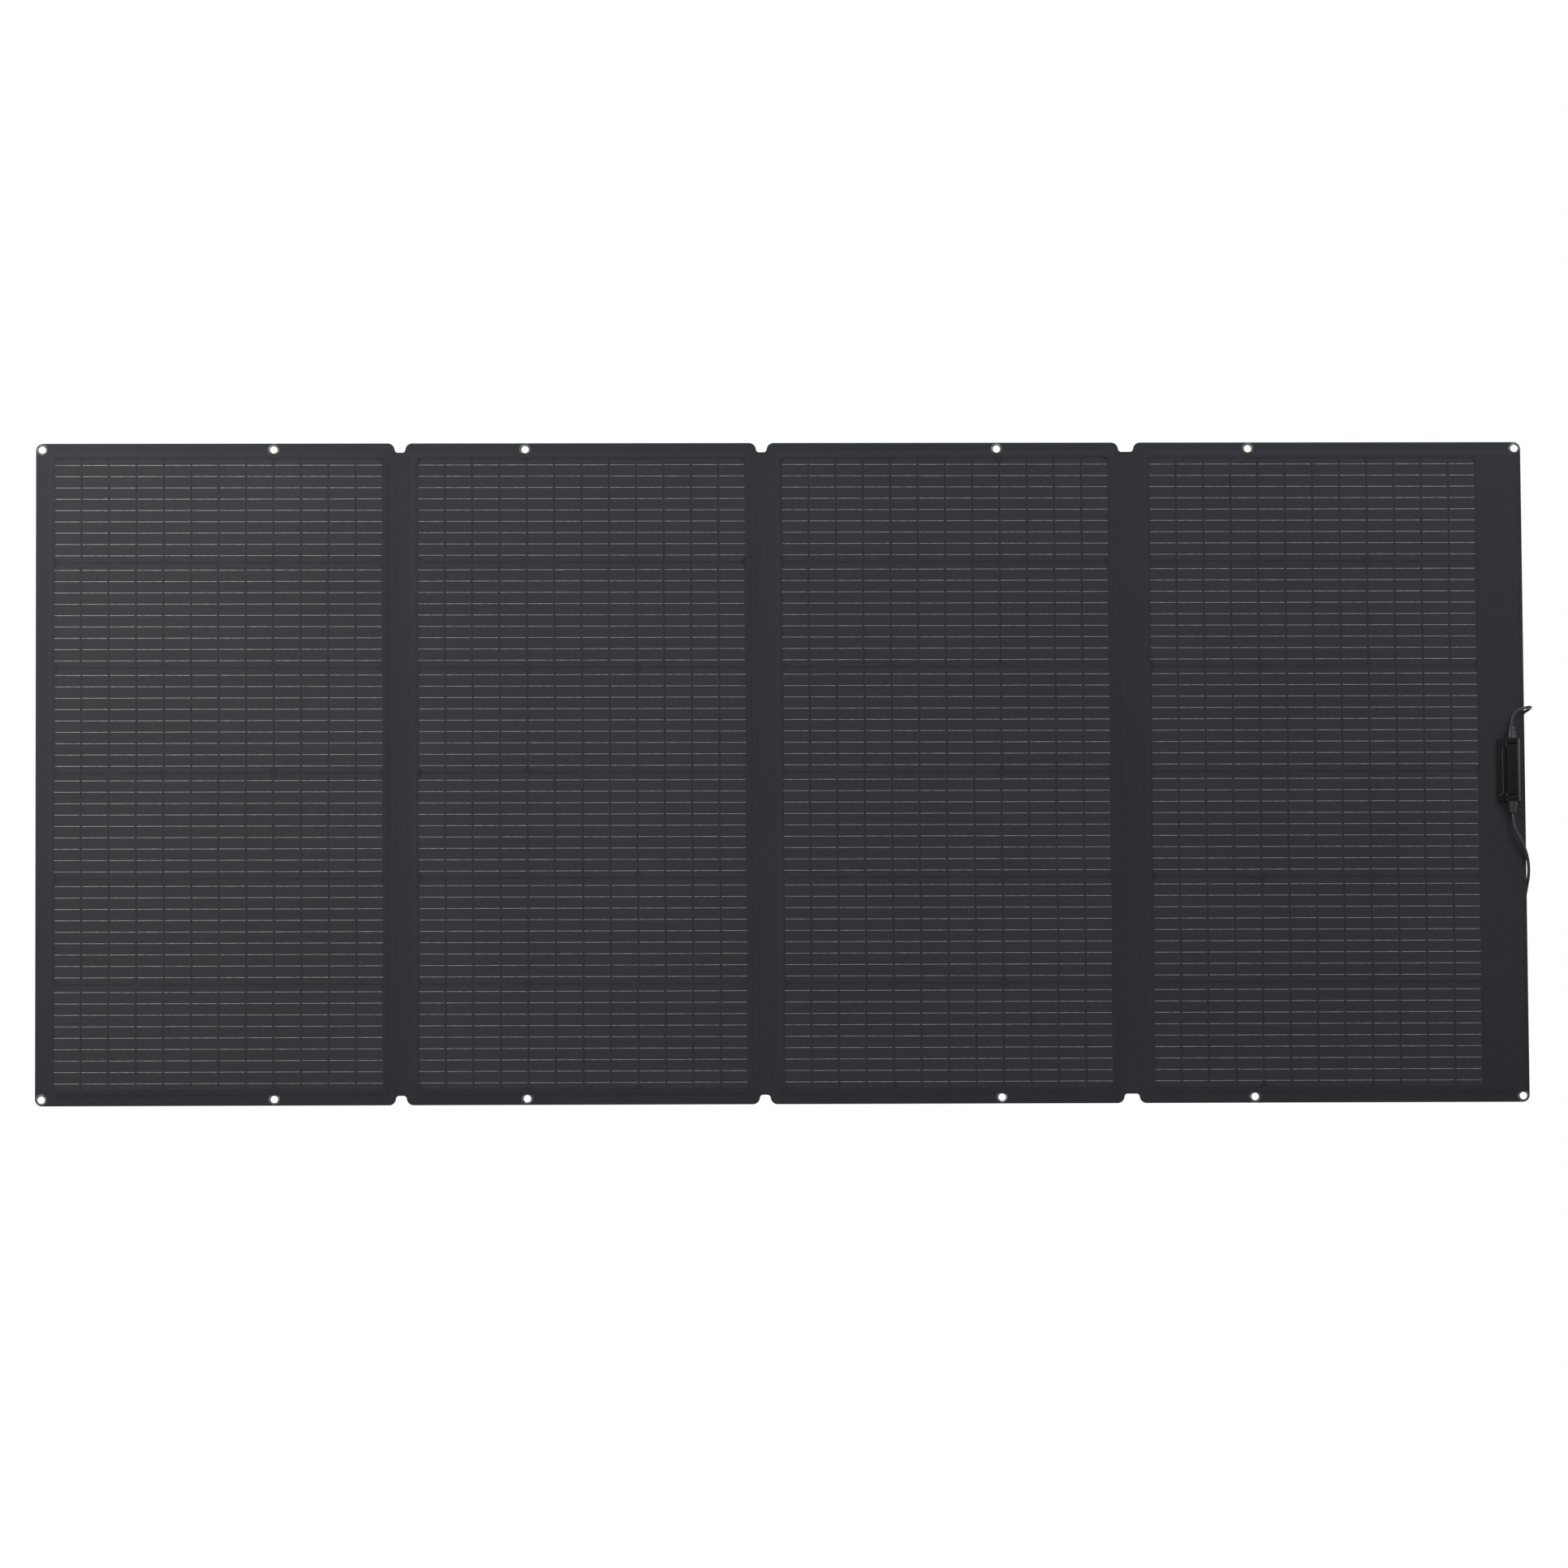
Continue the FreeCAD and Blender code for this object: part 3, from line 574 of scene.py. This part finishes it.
GRID = 24 * MM
EDGE_ROLL = 0.9 * MM
EDGE_TURN = 0.8
LINE_CLEARANCE = 3 * MM
RAMP_OUTSIDE = 8.0 * MM
RAMP_INSIDE = 1.0 * MM
EDGE_ROOM = 4.2 * MM
HEM = 13 * MM
HEM_HEIGHT = 0.09 * MM
HEM_WIDTH = 1.3 * MM
CELL_MARGIN = 0.3 * MM
STRIP_GAP = 2 * MM
ROW_GAP = 2.5 * MM
ROW_SHIFTS = (0.9 * MM, -0.3 * MM)
RIBBON_PITCH = 18.15 * MM
RIBBON_LENGTH = 39.9 * MM
RIBBON_HALF_WIDTH = 0.5 * MM
RIBBON_CROWN = 0.05 * MM


def grid_points(low, high, step):
    columns = int((high[0] - low[0]) / step)
    rows = int((high[1] - low[1]) / step)
    points = []
    for i in range(1, columns):
        for j in range(1, rows):
            x = low[0] + (high[0] - low[0]) * i / columns
            z = low[1] + (high[1] - low[1]) * j / rows
            points.append((x, z))
    return points


def smooth_step(value):
    value = max(0.0, min(1.0, value))
    return value * value * (3 - 2 * value)


def inset(low, high, margin):
    return (low[0] + margin, low[1] + margin), (high[0] - margin, high[1] - margin)


def between(first, second, share):
    """A point part of the way from one point to another."""
    return tuple(a + (b - a) * share for a, b in zip(first, second))


def depth_inside(x, z, low, high, radius):
    """How far a point lies inside a rectangle with round corners; negative outside."""
    middle = ((low[0] + high[0]) / 2, (low[1] + high[1]) / 2)
    half = ((high[0] - low[0]) / 2, (high[1] - low[1]) / 2)
    dx = abs(x - middle[0]) - (half[0] - radius)
    dz = abs(z - middle[1]) - (half[1] - radius)
    outside = math.hypot(max(dx, 0), max(dz, 0))
    return radius - outside - min(max(dx, dz), 0)


def clear_of(points, bounds, gap):
    """Only the loose points that stand off the line of every rectangle."""
    kept = []
    for point in points:
        if all(abs(depth_inside(*point, low, high, 1 * MM)) >= gap for low, high in bounds):
            kept.append(point)
    return kept


def rolled(edge, depth):
    """How far a skin of some depth turns back where it lies that far inside the leaf's edge."""
    if edge >= EDGE_ROLL:
        return 0.0
    share = 1 - max(edge, 0) / EDGE_ROLL
    return depth * EDGE_TURN * (1 - math.sqrt(max(0.0, 1 - share * share)))


class Leaf:
    """The measures of one leaf that its front and back skins share."""

    def __init__(self, number):
        low, high = leaf_box(number)
        self.number = number
        self.body = f"leaf_{number}"
        self.low, self.high = (low[0], low[2]), (high[0], high[2])
        core_low, core_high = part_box(f"leaf_{number}_board")
        core = ((core_low[0], core_low[2]), (core_high[0], core_high[2]))
        self.top_low, self.top_high = inset(*core, RAMP_INSIDE)
        self.foot_low, foot_high = inset(*core, -RAMP_OUTSIDE)
        self.foot_high = (min(foot_high[0], self.high[0] - EDGE_ROOM), foot_high[1])
        cell_low, cell_high = matrix_box(number)
        low, high = inset((cell_low[0], cell_low[2]), (cell_high[0], cell_high[2]), -CELL_MARGIN)
        self.opening = subdivided(rectangle(low, high), GRID)
        self.centres = eyelet_centres(number)
        self.outline = subdivided(rounded_rectangle(self.low, self.high, CORNER), GRID)
        self.holes = [circle_points(c, SKIN_HOLE) for c in self.centres]

    def rise(self, x, z):
        """How far up the ramp to the raised middle a point lies: 0 at its foot, 1 at its top."""
        shares = []
        for axis, value in enumerate((x, z)):
            foot, top = self.foot_low[axis], self.top_low[axis]
            shares.append((value - foot) / (top - foot))
            foot, top = self.foot_high[axis], self.top_high[axis]
            shares.append((foot - value) / (foot - top))
        return min(shares)

    def front(self, x, z):
        """The y of the cover's front: flat border, ramp and raised middle, softly uneven."""
        edge = depth_inside(x, z, self.low, self.high, CORNER)
        y = BORDER + rolled(edge, SKIN_BACK - BORDER)
        y += (FRONT - BORDER) * smooth_step(self.rise(x, z))
        y -= HEM_HEIGHT * math.exp(-((edge - HEM) / HEM_WIDTH) ** 2)
        wave = noise.noise(Vector((x * 9, self.number * 5.0, z * 7)))
        return y + 0.15 * MM * wave * smooth_step(edge / HEM)

    def back(self, x, z):
        """The y of the fabric's back face: its edge is rolled over."""
        edge = depth_inside(x, z, self.low, self.high, CORNER)
        y = rolled(edge, SKIN_BACK)
        wave = noise.noise(Vector((x * 7, 3.0 + self.number, z * 6)))
        return y + (0.25 * MM + 0.2 * MM * wave) * smooth_step(self.rise(x, z))

    def loose_points(self):
        """A grid of points over the leaf, clear of its edge and of the ramp's foot."""
        bounds = [(self.low, self.high), (self.foot_low, self.foot_high)]
        return clear_of(grid_points(self.low, self.high, GRID), bounds, LINE_CLEARANCE)

    def rings(self):
        """Loops that hold the rolled edge, the hem and the ramp."""
        loops = []
        for margin in (0.25 * MM, 0.55 * MM, EDGE_ROLL):
            low, high = inset(self.low, self.high, margin)
            loops.append(subdivided(rounded_rectangle(low, high, CORNER - margin), GRID))
        for share in (0, 0.2, 0.4, 0.6, 0.8, 1):
            low = between(self.foot_low, self.top_low, share)
            high = between(self.foot_high, self.top_high, share)
            loops.append(subdivided(rectangle(low, high), GRID))
        return loops


def make_cover(leaf):
    """The cover film's border, which frames the cells; over the cells it is clear."""
    holes = [*leaf.holes, leaf.opening]
    flat, faces = filled(leaf.outline, holes, leaf.rings(), leaf.loose_points())

    def film_back(x, z):
        return min(SKIN_BACK, leaf.front(x, z) + FILM_THICKNESS)

    name = f"leaf_{leaf.number}_cover"
    mesh = finish_mesh(name, shell(flat, faces, leaf.front, film_back))
    cover = new_object(name, mesh, FILM, leaf.body)
    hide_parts(f"leaf_{leaf.number}_cover_film", f"leaf_{leaf.number}_front_encapsulant")


def make_back(leaf):
    """The back fabric, wrapped round the leaf's edge."""
    flat, faces = filled(leaf.outline, leaf.holes, leaf.rings(), leaf.loose_points())
    built = shell(flat, faces, lambda x, z: SKIN_BACK, leaf.back)
    name = f"leaf_{leaf.number}_back"
    back = new_object(name, finish_mesh(name, built), FABRIC, leaf.body)
    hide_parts(f"leaf_{leaf.number}_back_fabric")


def make_ribbons(leaf):
    """Short ribbons on every quarter strip; every second row sits a little to the left."""
    low, high = matrix_box(leaf.number)
    ribbon_low, ribbon_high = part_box(f"leaf_{leaf.number}_cell_ribbons")
    pitch = (high[0] - low[0] + STRIP_GAP) / STRIPS
    row_pitch = (high[2] - low[2] + ROW_GAP) / ROWS
    half = RIBBON_HALF_WIDTH
    top = ribbon_high[2] - half
    built = bmesh.new()
    back, front = ribbon_high[1], ribbon_low[1]
    crown = front + RIBBON_CROWN
    section = [(back, -half), (crown, -half), (front, -0.6 * half),
               (front, 0.6 * half), (crown, half), (back, half)]
    for row in range(ROWS):
        shift = ROW_SHIFTS[row % 2]
        for line in range(RIBBONS):
            z = top - row * row_pitch - line * RIBBON_PITCH
            for strip in range(STRIPS):
                x0 = low[0] + strip * pitch + shift + random.uniform(-0.25, 0.25) * MM
                x1 = x0 + RIBBON_LENGTH + random.uniform(-0.25, 0.25) * MM
                level = z + random.uniform(-0.08, 0.08) * MM
                ends = []
                for x in (x0, x1):
                    ends.append([built.verts.new((x, y, level + dz)) for y, dz in section])
                prism(built, *ends)
    name = f"leaf_{leaf.number}_ribbon_dashes"
    ribbons = new_object(name, finish_mesh(name, built), RIBBON, leaf.body, smooth=False)
    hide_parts(f"leaf_{leaf.number}_cell_ribbons")


# Radius and height in mm, from the hole's back edge round the rim and the washer.
EYELET_PROFILE = [
    (5.9, -0.8), (5.9, 1.15), (6.2, 1.5), (6.8, 1.66), (7.6, 1.62), (8.5, 1.4),
    (9.0, 1.1), (9.0, 0.92), (6.8, 0.88), (6.8, 0.05), (9.0, 0.0), (9.0, -0.35),
    (8.4, -0.62), (7.4, -0.78), (6.6, -0.8),
]


def make_eyelets(leaf):
    """Eyelets with a rolled rim in front and a domed washer behind."""
    scaled = [(radius * MM, height * MM) for radius, height in EYELET_PROFILE]
    built = bmesh.new()
    for x, z in leaf.centres:
        lathe(built, (x, 0, z), (0, -1, 0), scaled, 48)
    name = f"leaf_{leaf.number}_eyelet_rings"
    rings = new_object(name, finish_mesh(name, built, sharp=0.9), BLACK_METAL, leaf.body)
    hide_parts(f"leaf_{leaf.number}_eyelets")


# ---------------------------------------------------------------- folds

NOTCH_ROUND = 5 * MM
FOLD_COLUMNS = 14
FOLD_STEP = 12 * MM
FOLD_DIP = 0.22 * MM
FOLD_CREASE = 0.12 * MM
SKIN_CLEARANCE = 0.02 * MM


def fold_outline(low, high):
    """A strip whose two ends are hollowed between rounded horns."""
    turn = math.radians(78)
    points = []
    for level, way in ((high[1], 1), (low[1], -1)):
        right = (high[0] - NOTCH_ROUND, level + way * NOTCH_ROUND)
        left = (low[0] + NOTCH_ROUND, level + way * NOTCH_ROUND)
        start = -way * math.pi / 2
        side = arc_points(right, NOTCH_ROUND, start + way * turn, start, 6)
        other = arc_points(left, NOTCH_ROUND, start, start - way * turn, 6)
        horn = [(high[0], side[0][1])] + side + other + [(low[0], other[-1][1])]
        points += horn if way > 0 else list(reversed(horn))
    return points


def make_fold(number):
    """Front film and back fabric of the fold strip between two leaves."""
    low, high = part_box(f"fold_{number}_back_fabric")
    low, high = (low[0], low[2]), (high[0], high[2])
    middle, half = (low[0] + high[0]) / 2, (high[0] - low[0]) / 2
    outline = subdivided(fold_outline(low, high), FOLD_STEP)
    rows = int((high[1] - low[1]) / FOLD_STEP)
    loose = []
    for i in range(1, FOLD_COLUMNS):
        x = low[0] + (high[0] - low[0]) * i / FOLD_COLUMNS
        for j in range(1, rows):
            loose.append((x, low[1] + (high[1] - low[1]) * j / rows))
    flat, faces = filled(outline, [], [], loose)

    def front(x, z):
        share = abs(x - middle) / half
        dip = FOLD_DIP * math.cos(share * math.pi / 2) ** 2
        crease = FOLD_CREASE * math.exp(-((share - 0.45) / 0.12) ** 2)
        wave = 0.1 * MM * noise.noise(Vector((x * 40, number * 3.0, z * 11)))
        return BORDER + (dip - crease + wave) * smooth_step((1 - share) * 4)

    def back(x, z):
        share = abs(x - middle) / half
        wave = 0.12 * MM * noise.noise(Vector((x * 40, number * 7.0, z * 9)))
        return (wave - 0.1 * MM * math.cos(share * math.pi / 2)) * smooth_step((1 - share) * 4)

    start, end = (low[0], 0, 0), (high[0], 0, 0)
    name = f"fold_{number}_front"
    skin = shell(flat, faces, front, lambda x, z: SKIN_BACK - SKIN_CLEARANCE)
    film = new_object(name, finish_mesh(name, skin), FILM, None)
    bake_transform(film)
    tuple(start)
    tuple(end)
    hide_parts(f"fold_{number}_front_film", f"fold_{number}_conductors")
    name = f"fold_{number}_back"
    skin = shell(flat, faces, lambda x, z: SKIN_BACK + SKIN_CLEARANCE, back)
    fabric = new_object(name, finish_mesh(name, skin), FABRIC, None)
    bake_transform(fabric)
    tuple(start)
    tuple(end)
    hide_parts(f"fold_{number}_back_fabric")


# ---------------------------------------------------------------- junction box

BOX_LIFT = 0.05 * MM
BASE_THICKNESS = 2.4 * MM
SEAT_DEPTH = 1 * MM          # from the base's back to the backs of the blocks sunk into it
SHOULDER_DEPTH = 9 * MM
SHOULDER_INSETS = (0.8 * MM, 1.2 * MM)
RIDGE_MARGIN = 0.7 * MM
RIDGE_STEP = 1.2 * MM
RIDGE_INSET = 9 * MM
END_BLOCK = 9.5 * MM
END_BLOCK_PROUD = 0.5 * MM
SEAM_INSET = 8 * MM
BEAD_HALF_WIDTH = 0.45 * MM
# Where the painted highlight ticks at the ridge's left edge start and end.
HIGHLIGHT_TICKS = ((1, 5.5), (9.5, 14.5), (87.5, 95.5), (98, 101))  # mm above the box's lower end


def block(built, low, high, bevel, segments=3):
    """A block with rounded edges, added to a mesh under way."""
    made = bmesh.ops.create_cube(built, size=1)
    verts = made["verts"]
    for vert in verts:
        vert.co = Vector([low[k] if vert.co[k] < 0 else high[k] for k in range(3)])
    edges = list(dict.fromkeys(edge for vert in verts for edge in vert.link_edges))
    bmesh.ops.bevel(built, geom=edges, offset=bevel, segments=segments, profile=0.5, affect="EDGES")


def bead(built, first, second, level):
    """A low straight bead along a flat face, between two points in x and z."""
    along = Vector((second[0] - first[0], 0, second[1] - first[1]))
    across = Vector((-along.z, 0, along.x)).normalized() * BEAD_HALF_WIDTH
    sunk, proud = Vector((0, 0.3 * MM, 0)), Vector((0, -0.5 * MM, 0))
    ends = []
    for x, z in (first, second):
        base = Vector((x, level, z))
        section = [base - across + sunk, base - 0.5 * across + proud,
                   base + 0.5 * across + proud, base + across + sunk]
        ends.append([built.verts.new(point) for point in section])
    prism(built, *ends)


def make_box():
    """The junction box: a low shoulder, a high ridge with end blocks, and a seam line; a lighter
    strip, ticks and seam bead on it are painted highlights.
    """
    low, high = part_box("box_lid")
    foot = FRONT + BOX_LIFT
    ridge_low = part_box("upper_gland")[0][0] - RIDGE_MARGIN
    ridge_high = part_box("upper_gland")[1][0] + RIDGE_MARGIN
    crest, shoulder, seat = low[1], low[1] + SHOULDER_DEPTH, foot - SEAT_DEPTH
    side_inset, end_inset = SHOULDER_INSETS
    built = bmesh.new()
    block(built, (low[0], foot - BASE_THICKNESS, low[2]), (high[0], foot, high[2]), 0.8 * MM)
    block(built, (low[0] + side_inset, shoulder, low[2] + end_inset),
          (high[0] - side_inset, seat, high[2] - end_inset), 1.2 * MM)
    block(built, (ridge_low, crest + RIDGE_STEP, low[2] + RIDGE_INSET),
          (ridge_high, seat, high[2] - RIDGE_INSET), 3.2 * MM, 5)
    for start, end in ((low[2], low[2] + END_BLOCK), (high[2] - END_BLOCK, high[2])):
        block(built, (ridge_low - END_BLOCK_PROUD, crest, start),
              (ridge_high + END_BLOCK_PROUD, seat, end), 2.4 * MM, 4)
    name = "junction_box"
    box = new_object(name, finish_mesh(name, built, sharp=0.7), BOX_PLASTIC, "leaf_4")
    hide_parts("box_lid", "box_base", "box_gasket")
    # Painted highlights: a light strip along the ridge's right side, light ticks at its left edge
    # and a raised seam bead painted light, all in a lighter copy of the box plastic.
    built = bmesh.new()
    block(built, (ridge_high - 0.2 * MM, shoulder - 3.4 * MM, low[2] + 1 * MM),
          (high[0] - 0.6 * MM, shoulder + 1 * MM, high[2] - 1 * MM), 1.1 * MM)
    for start, end in HIGHLIGHT_TICKS:
        block(built, (ridge_low - 1.1 * MM, shoulder - 2.2 * MM, low[2] + start * MM),
              (ridge_low + 0.6 * MM, shoulder + 1 * MM, low[2] + end * MM), 0.5 * MM)
    seam_x = low[0] + SEAM_INSET
    points = [(seam_x, high[2] - 14 * MM), (seam_x, low[2] + 15 * MM),
              (low[0] + 1.8 * MM, low[2] + 9.5 * MM)]
    for first, second in zip(points, points[1:]):
        bead(built, first, second, shoulder)
    name = "junction_box_painted_highlights"
    new_object(name, finish_mesh(name, built, sharp=0.7), BOX_PAINTED_HIGHLIGHT, "leaf_4")


# Radius and height in mm, from the box outwards.
GLAND_PROFILE = [
    (0.05, -0.4), (7.7, -0.4), (7.75, 0.6), (7.5, 1.2), (7.1, 5.5), (6.45, 10.5), (6.2, 11.6),
    (5.75, 11.9), (5.75, 12.8), (6.15, 13.1), (5.95, 16.6), (5.5, 17.6), (4.4, 17.9),
    (3.2, 17.7), (2.7, 17.2), (0.05, 17.2),
]


def make_gland(node, upward):
    """A tapered strain relief with a stepped collar at its tip."""
    low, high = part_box(node)
    centre = ((low[0] + high[0]) / 2, (low[1] + high[1]) / 2, low[2] if upward else high[2])
    built = bmesh.new()
    scaled = [(radius * MM, height * MM) for radius, height in GLAND_PROFILE]
    lathe(built, centre, (0, 0, 1 if upward else -1), scaled, 48)
    bmesh.ops.remove_doubles(built, verts=built.verts, dist=0.02 * MM)
    name = node + "_boot"
    boot = new_object(name, finish_mesh(name, built, sharp=0.8), GLAND_RUBBER, "leaf_4")
    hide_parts(node)


# ---------------------------------------------------------------- leads

LEAD_DIAMETER = 5 * MM
# The same points, in mm, that the CAD model's two leads follow.
UPPER_ROUTE = [
    (1161.5, -11.3, -450), (1161.5, -11.3, -437), (1168, -12.5, -426), (1180, -12.5, -420),
    (1190, -8, -417.5), (1194.5, 2, -417), (1190.5, 11, -419.3), (1181.5, 17, -424.6),
    (1169, 17.5, -447), (1158, 15.5, -480), (1150, 14, -515), (1145, 13, -560),
    (1142.5, 12.5, -610), (1142, 12, -660), (1142, 12, -705),
]
LOWER_ROUTE = [
    (1161.5, -11.3, -588), (1161.5, -11.3, -601), (1165.5, -12.5, -616), (1175, -12.5, -634),
    (1182.6, -8.5, -652), (1186.2, -2, -670), (1186.6, 5, -686), (1184, 10.5, -703),
    (1180, 13, -724), (1175, 13.5, -752), (1171, 13, -790), (1169, 12.5, -835),
    (1168.5, 12, -885), (1168.5, 12, -935),
]


def make_lead(name, route):
    """A lead as one smooth curve along its route."""
    curve = bpy.data.curves.new(name, "CURVE")
    curve.dimensions = "3D"
    spline = curve.splines.new("NURBS")
    spline.points.add(len(route) - 1)
    for point, place in zip(spline.points, route):
        point.co = (*(value * MM for value in place), 1)
    spline.order_u = 3
    spline.use_endpoint_u = True
    spline.resolution_u = 12
    curve.bevel_depth = LEAD_DIAMETER / 2
    curve.bevel_resolution = 6
    curve.use_fill_caps = True
    curve.materials.append(JACKET)
    lead = bpy.data.objects.new(name + "_cable", curve)
    bpy.context.scene.collection.objects.link(lead)
    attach(lead, "leaf_4")
    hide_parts(name)


def ribbed(built, centre, start, end, radius, ribs, depth):
    """An upright barrel with shallow ribs round it, closed at both ends."""
    steps = ribs * 4
    rings = []
    for height, share in ((start, 0.9), (start + 0.8 * MM, 1.0), (end - 0.8 * MM, 1.0), (end, 0.9)):
        ring = []
        for k in range(steps):
            angle = 2 * math.pi * k / steps
            proud = depth if k % 4 in (0, 1) else 0
            reach = (radius - depth + proud) * share
            ring.append(built.verts.new((centre[0] + reach * math.cos(angle),
                                         centre[1] + reach * math.sin(angle), height)))
        rings.append(ring)
    for first, second in zip(rings, rings[1:]):
        bridge(built, first, second)
    built.faces.new(list(reversed(rings[0])))
    built.faces.new(rings[-1])


# Radius and height in mm: a nut's cap from the nut's foot, and each shell from the nut downwards.
CAP_PROFILE = [
    (0.05, 8.6), (7.6, 8.6), (7.3, 10.2), (6.2, 12.0), (5.1, 13.6), (4.3, 14.9),
    (2.6, 15.0), (0.05, 15.0),
]
PLUG_PROFILE = [
    (0.05, 0), (7.2, 0), (7.5, 0.6), (7.5, 4), (6.9, 4.6), (6.9, 6.4), (7.5, 7), (7.5, 18.6),
    (6.8, 19.8), (5.3, 20), (5.3, 27), (4.9, 27.3), (4.9, 28.7), (5.3, 29), (5.3, 36.8),
    (4.9, 38), (3.5, 38), (3.2, 37.4), (3.2, 20), (0.05, 20),
]
SOCKET_PROFILE = [
    (0.05, 0), (7.2, 0), (7.5, 0.6), (7.5, 5), (6.9, 5.6), (6.9, 8.4), (7.5, 9), (7.5, 30),
    (7.1, 30.3), (7.1, 31.6), (7.5, 32), (7.5, 37.2), (6.9, 38), (6.1, 38), (5.8, 37.4),
    (5.8, 18), (0.05, 18),
]


def make_connector(kind, profile):
    """A connector on a lead's end: ribbed nut and turned shell."""
    low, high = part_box(kind + "_nut")
    centre = ((low[0] + high[0]) / 2, (low[1] + high[1]) / 2)
    built = bmesh.new()
    ribbed(built, centre, low[2] + 0.3 * MM, low[2] + 9 * MM, 8.5 * MM, 10, 0.7 * MM)
    scaled = [(radius * MM, height * MM) for radius, height in CAP_PROFILE]
    lathe(built, (*centre, low[2]), (0, 0, 1), scaled, 40)
    bmesh.ops.remove_doubles(built, verts=built.verts, dist=0.02 * MM)
    name = kind + "_grip"
    mesh = finish_mesh(name, built, sharp=0.6)
    grip = new_object(name, mesh, CONNECTOR, "leaf_4")
    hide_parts(kind + "_nut")
    shell_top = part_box(kind + "_shell")[1][2]
    built = bmesh.new()
    scaled = [(radius * MM, height * MM) for radius, height in profile]
    lathe(built, (*centre, shell_top), (0, 0, -1), scaled, 48)
    bmesh.ops.remove_doubles(built, verts=built.verts, dist=0.02 * MM)
    name = kind + "_housing"
    mesh = finish_mesh(name, built, sharp=0.6)
    housing = new_object(name, mesh, CONNECTOR, "leaf_4")
    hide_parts(kind + "_shell")
    return [grip, housing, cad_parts[kind + "_contact"]]


# ---------------------------------------------------------------- everything

plug_pieces = make_connector("plug", PLUG_PROFILE)
socket_pieces = make_connector("socket", SOCKET_PROFILE)
make_lead("upper_lead", UPPER_ROUTE)
make_lead("lower_lead", LOWER_ROUTE)
make_gland("upper_gland", True)
make_gland("lower_gland", False)
make_box()
for leaf_number in LEAVES:
    this_leaf = Leaf(leaf_number)
    make_cover(this_leaf)
    make_back(this_leaf)
    make_ribbons(this_leaf)
    make_eyelets(this_leaf)
for fold_number in FOLDS:
    make_fold(fold_number)

NODE_MATERIALS = {
    "_cells": SILICON, "_string_links": RIBBON, "_rear_encapsulant": RESIN, "_board": BOARD,
    "terminal_rails": CONTACT, "bypass_diodes": RESIN, "_contact": CONTACT,
}
for node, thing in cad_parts.items():
    for ending, material in NODE_MATERIALS.items():
        if node.endswith(ending):
            thing.material_slots[0].material = material

bpy.context.scene.view_settings.view_transform = "Standard"
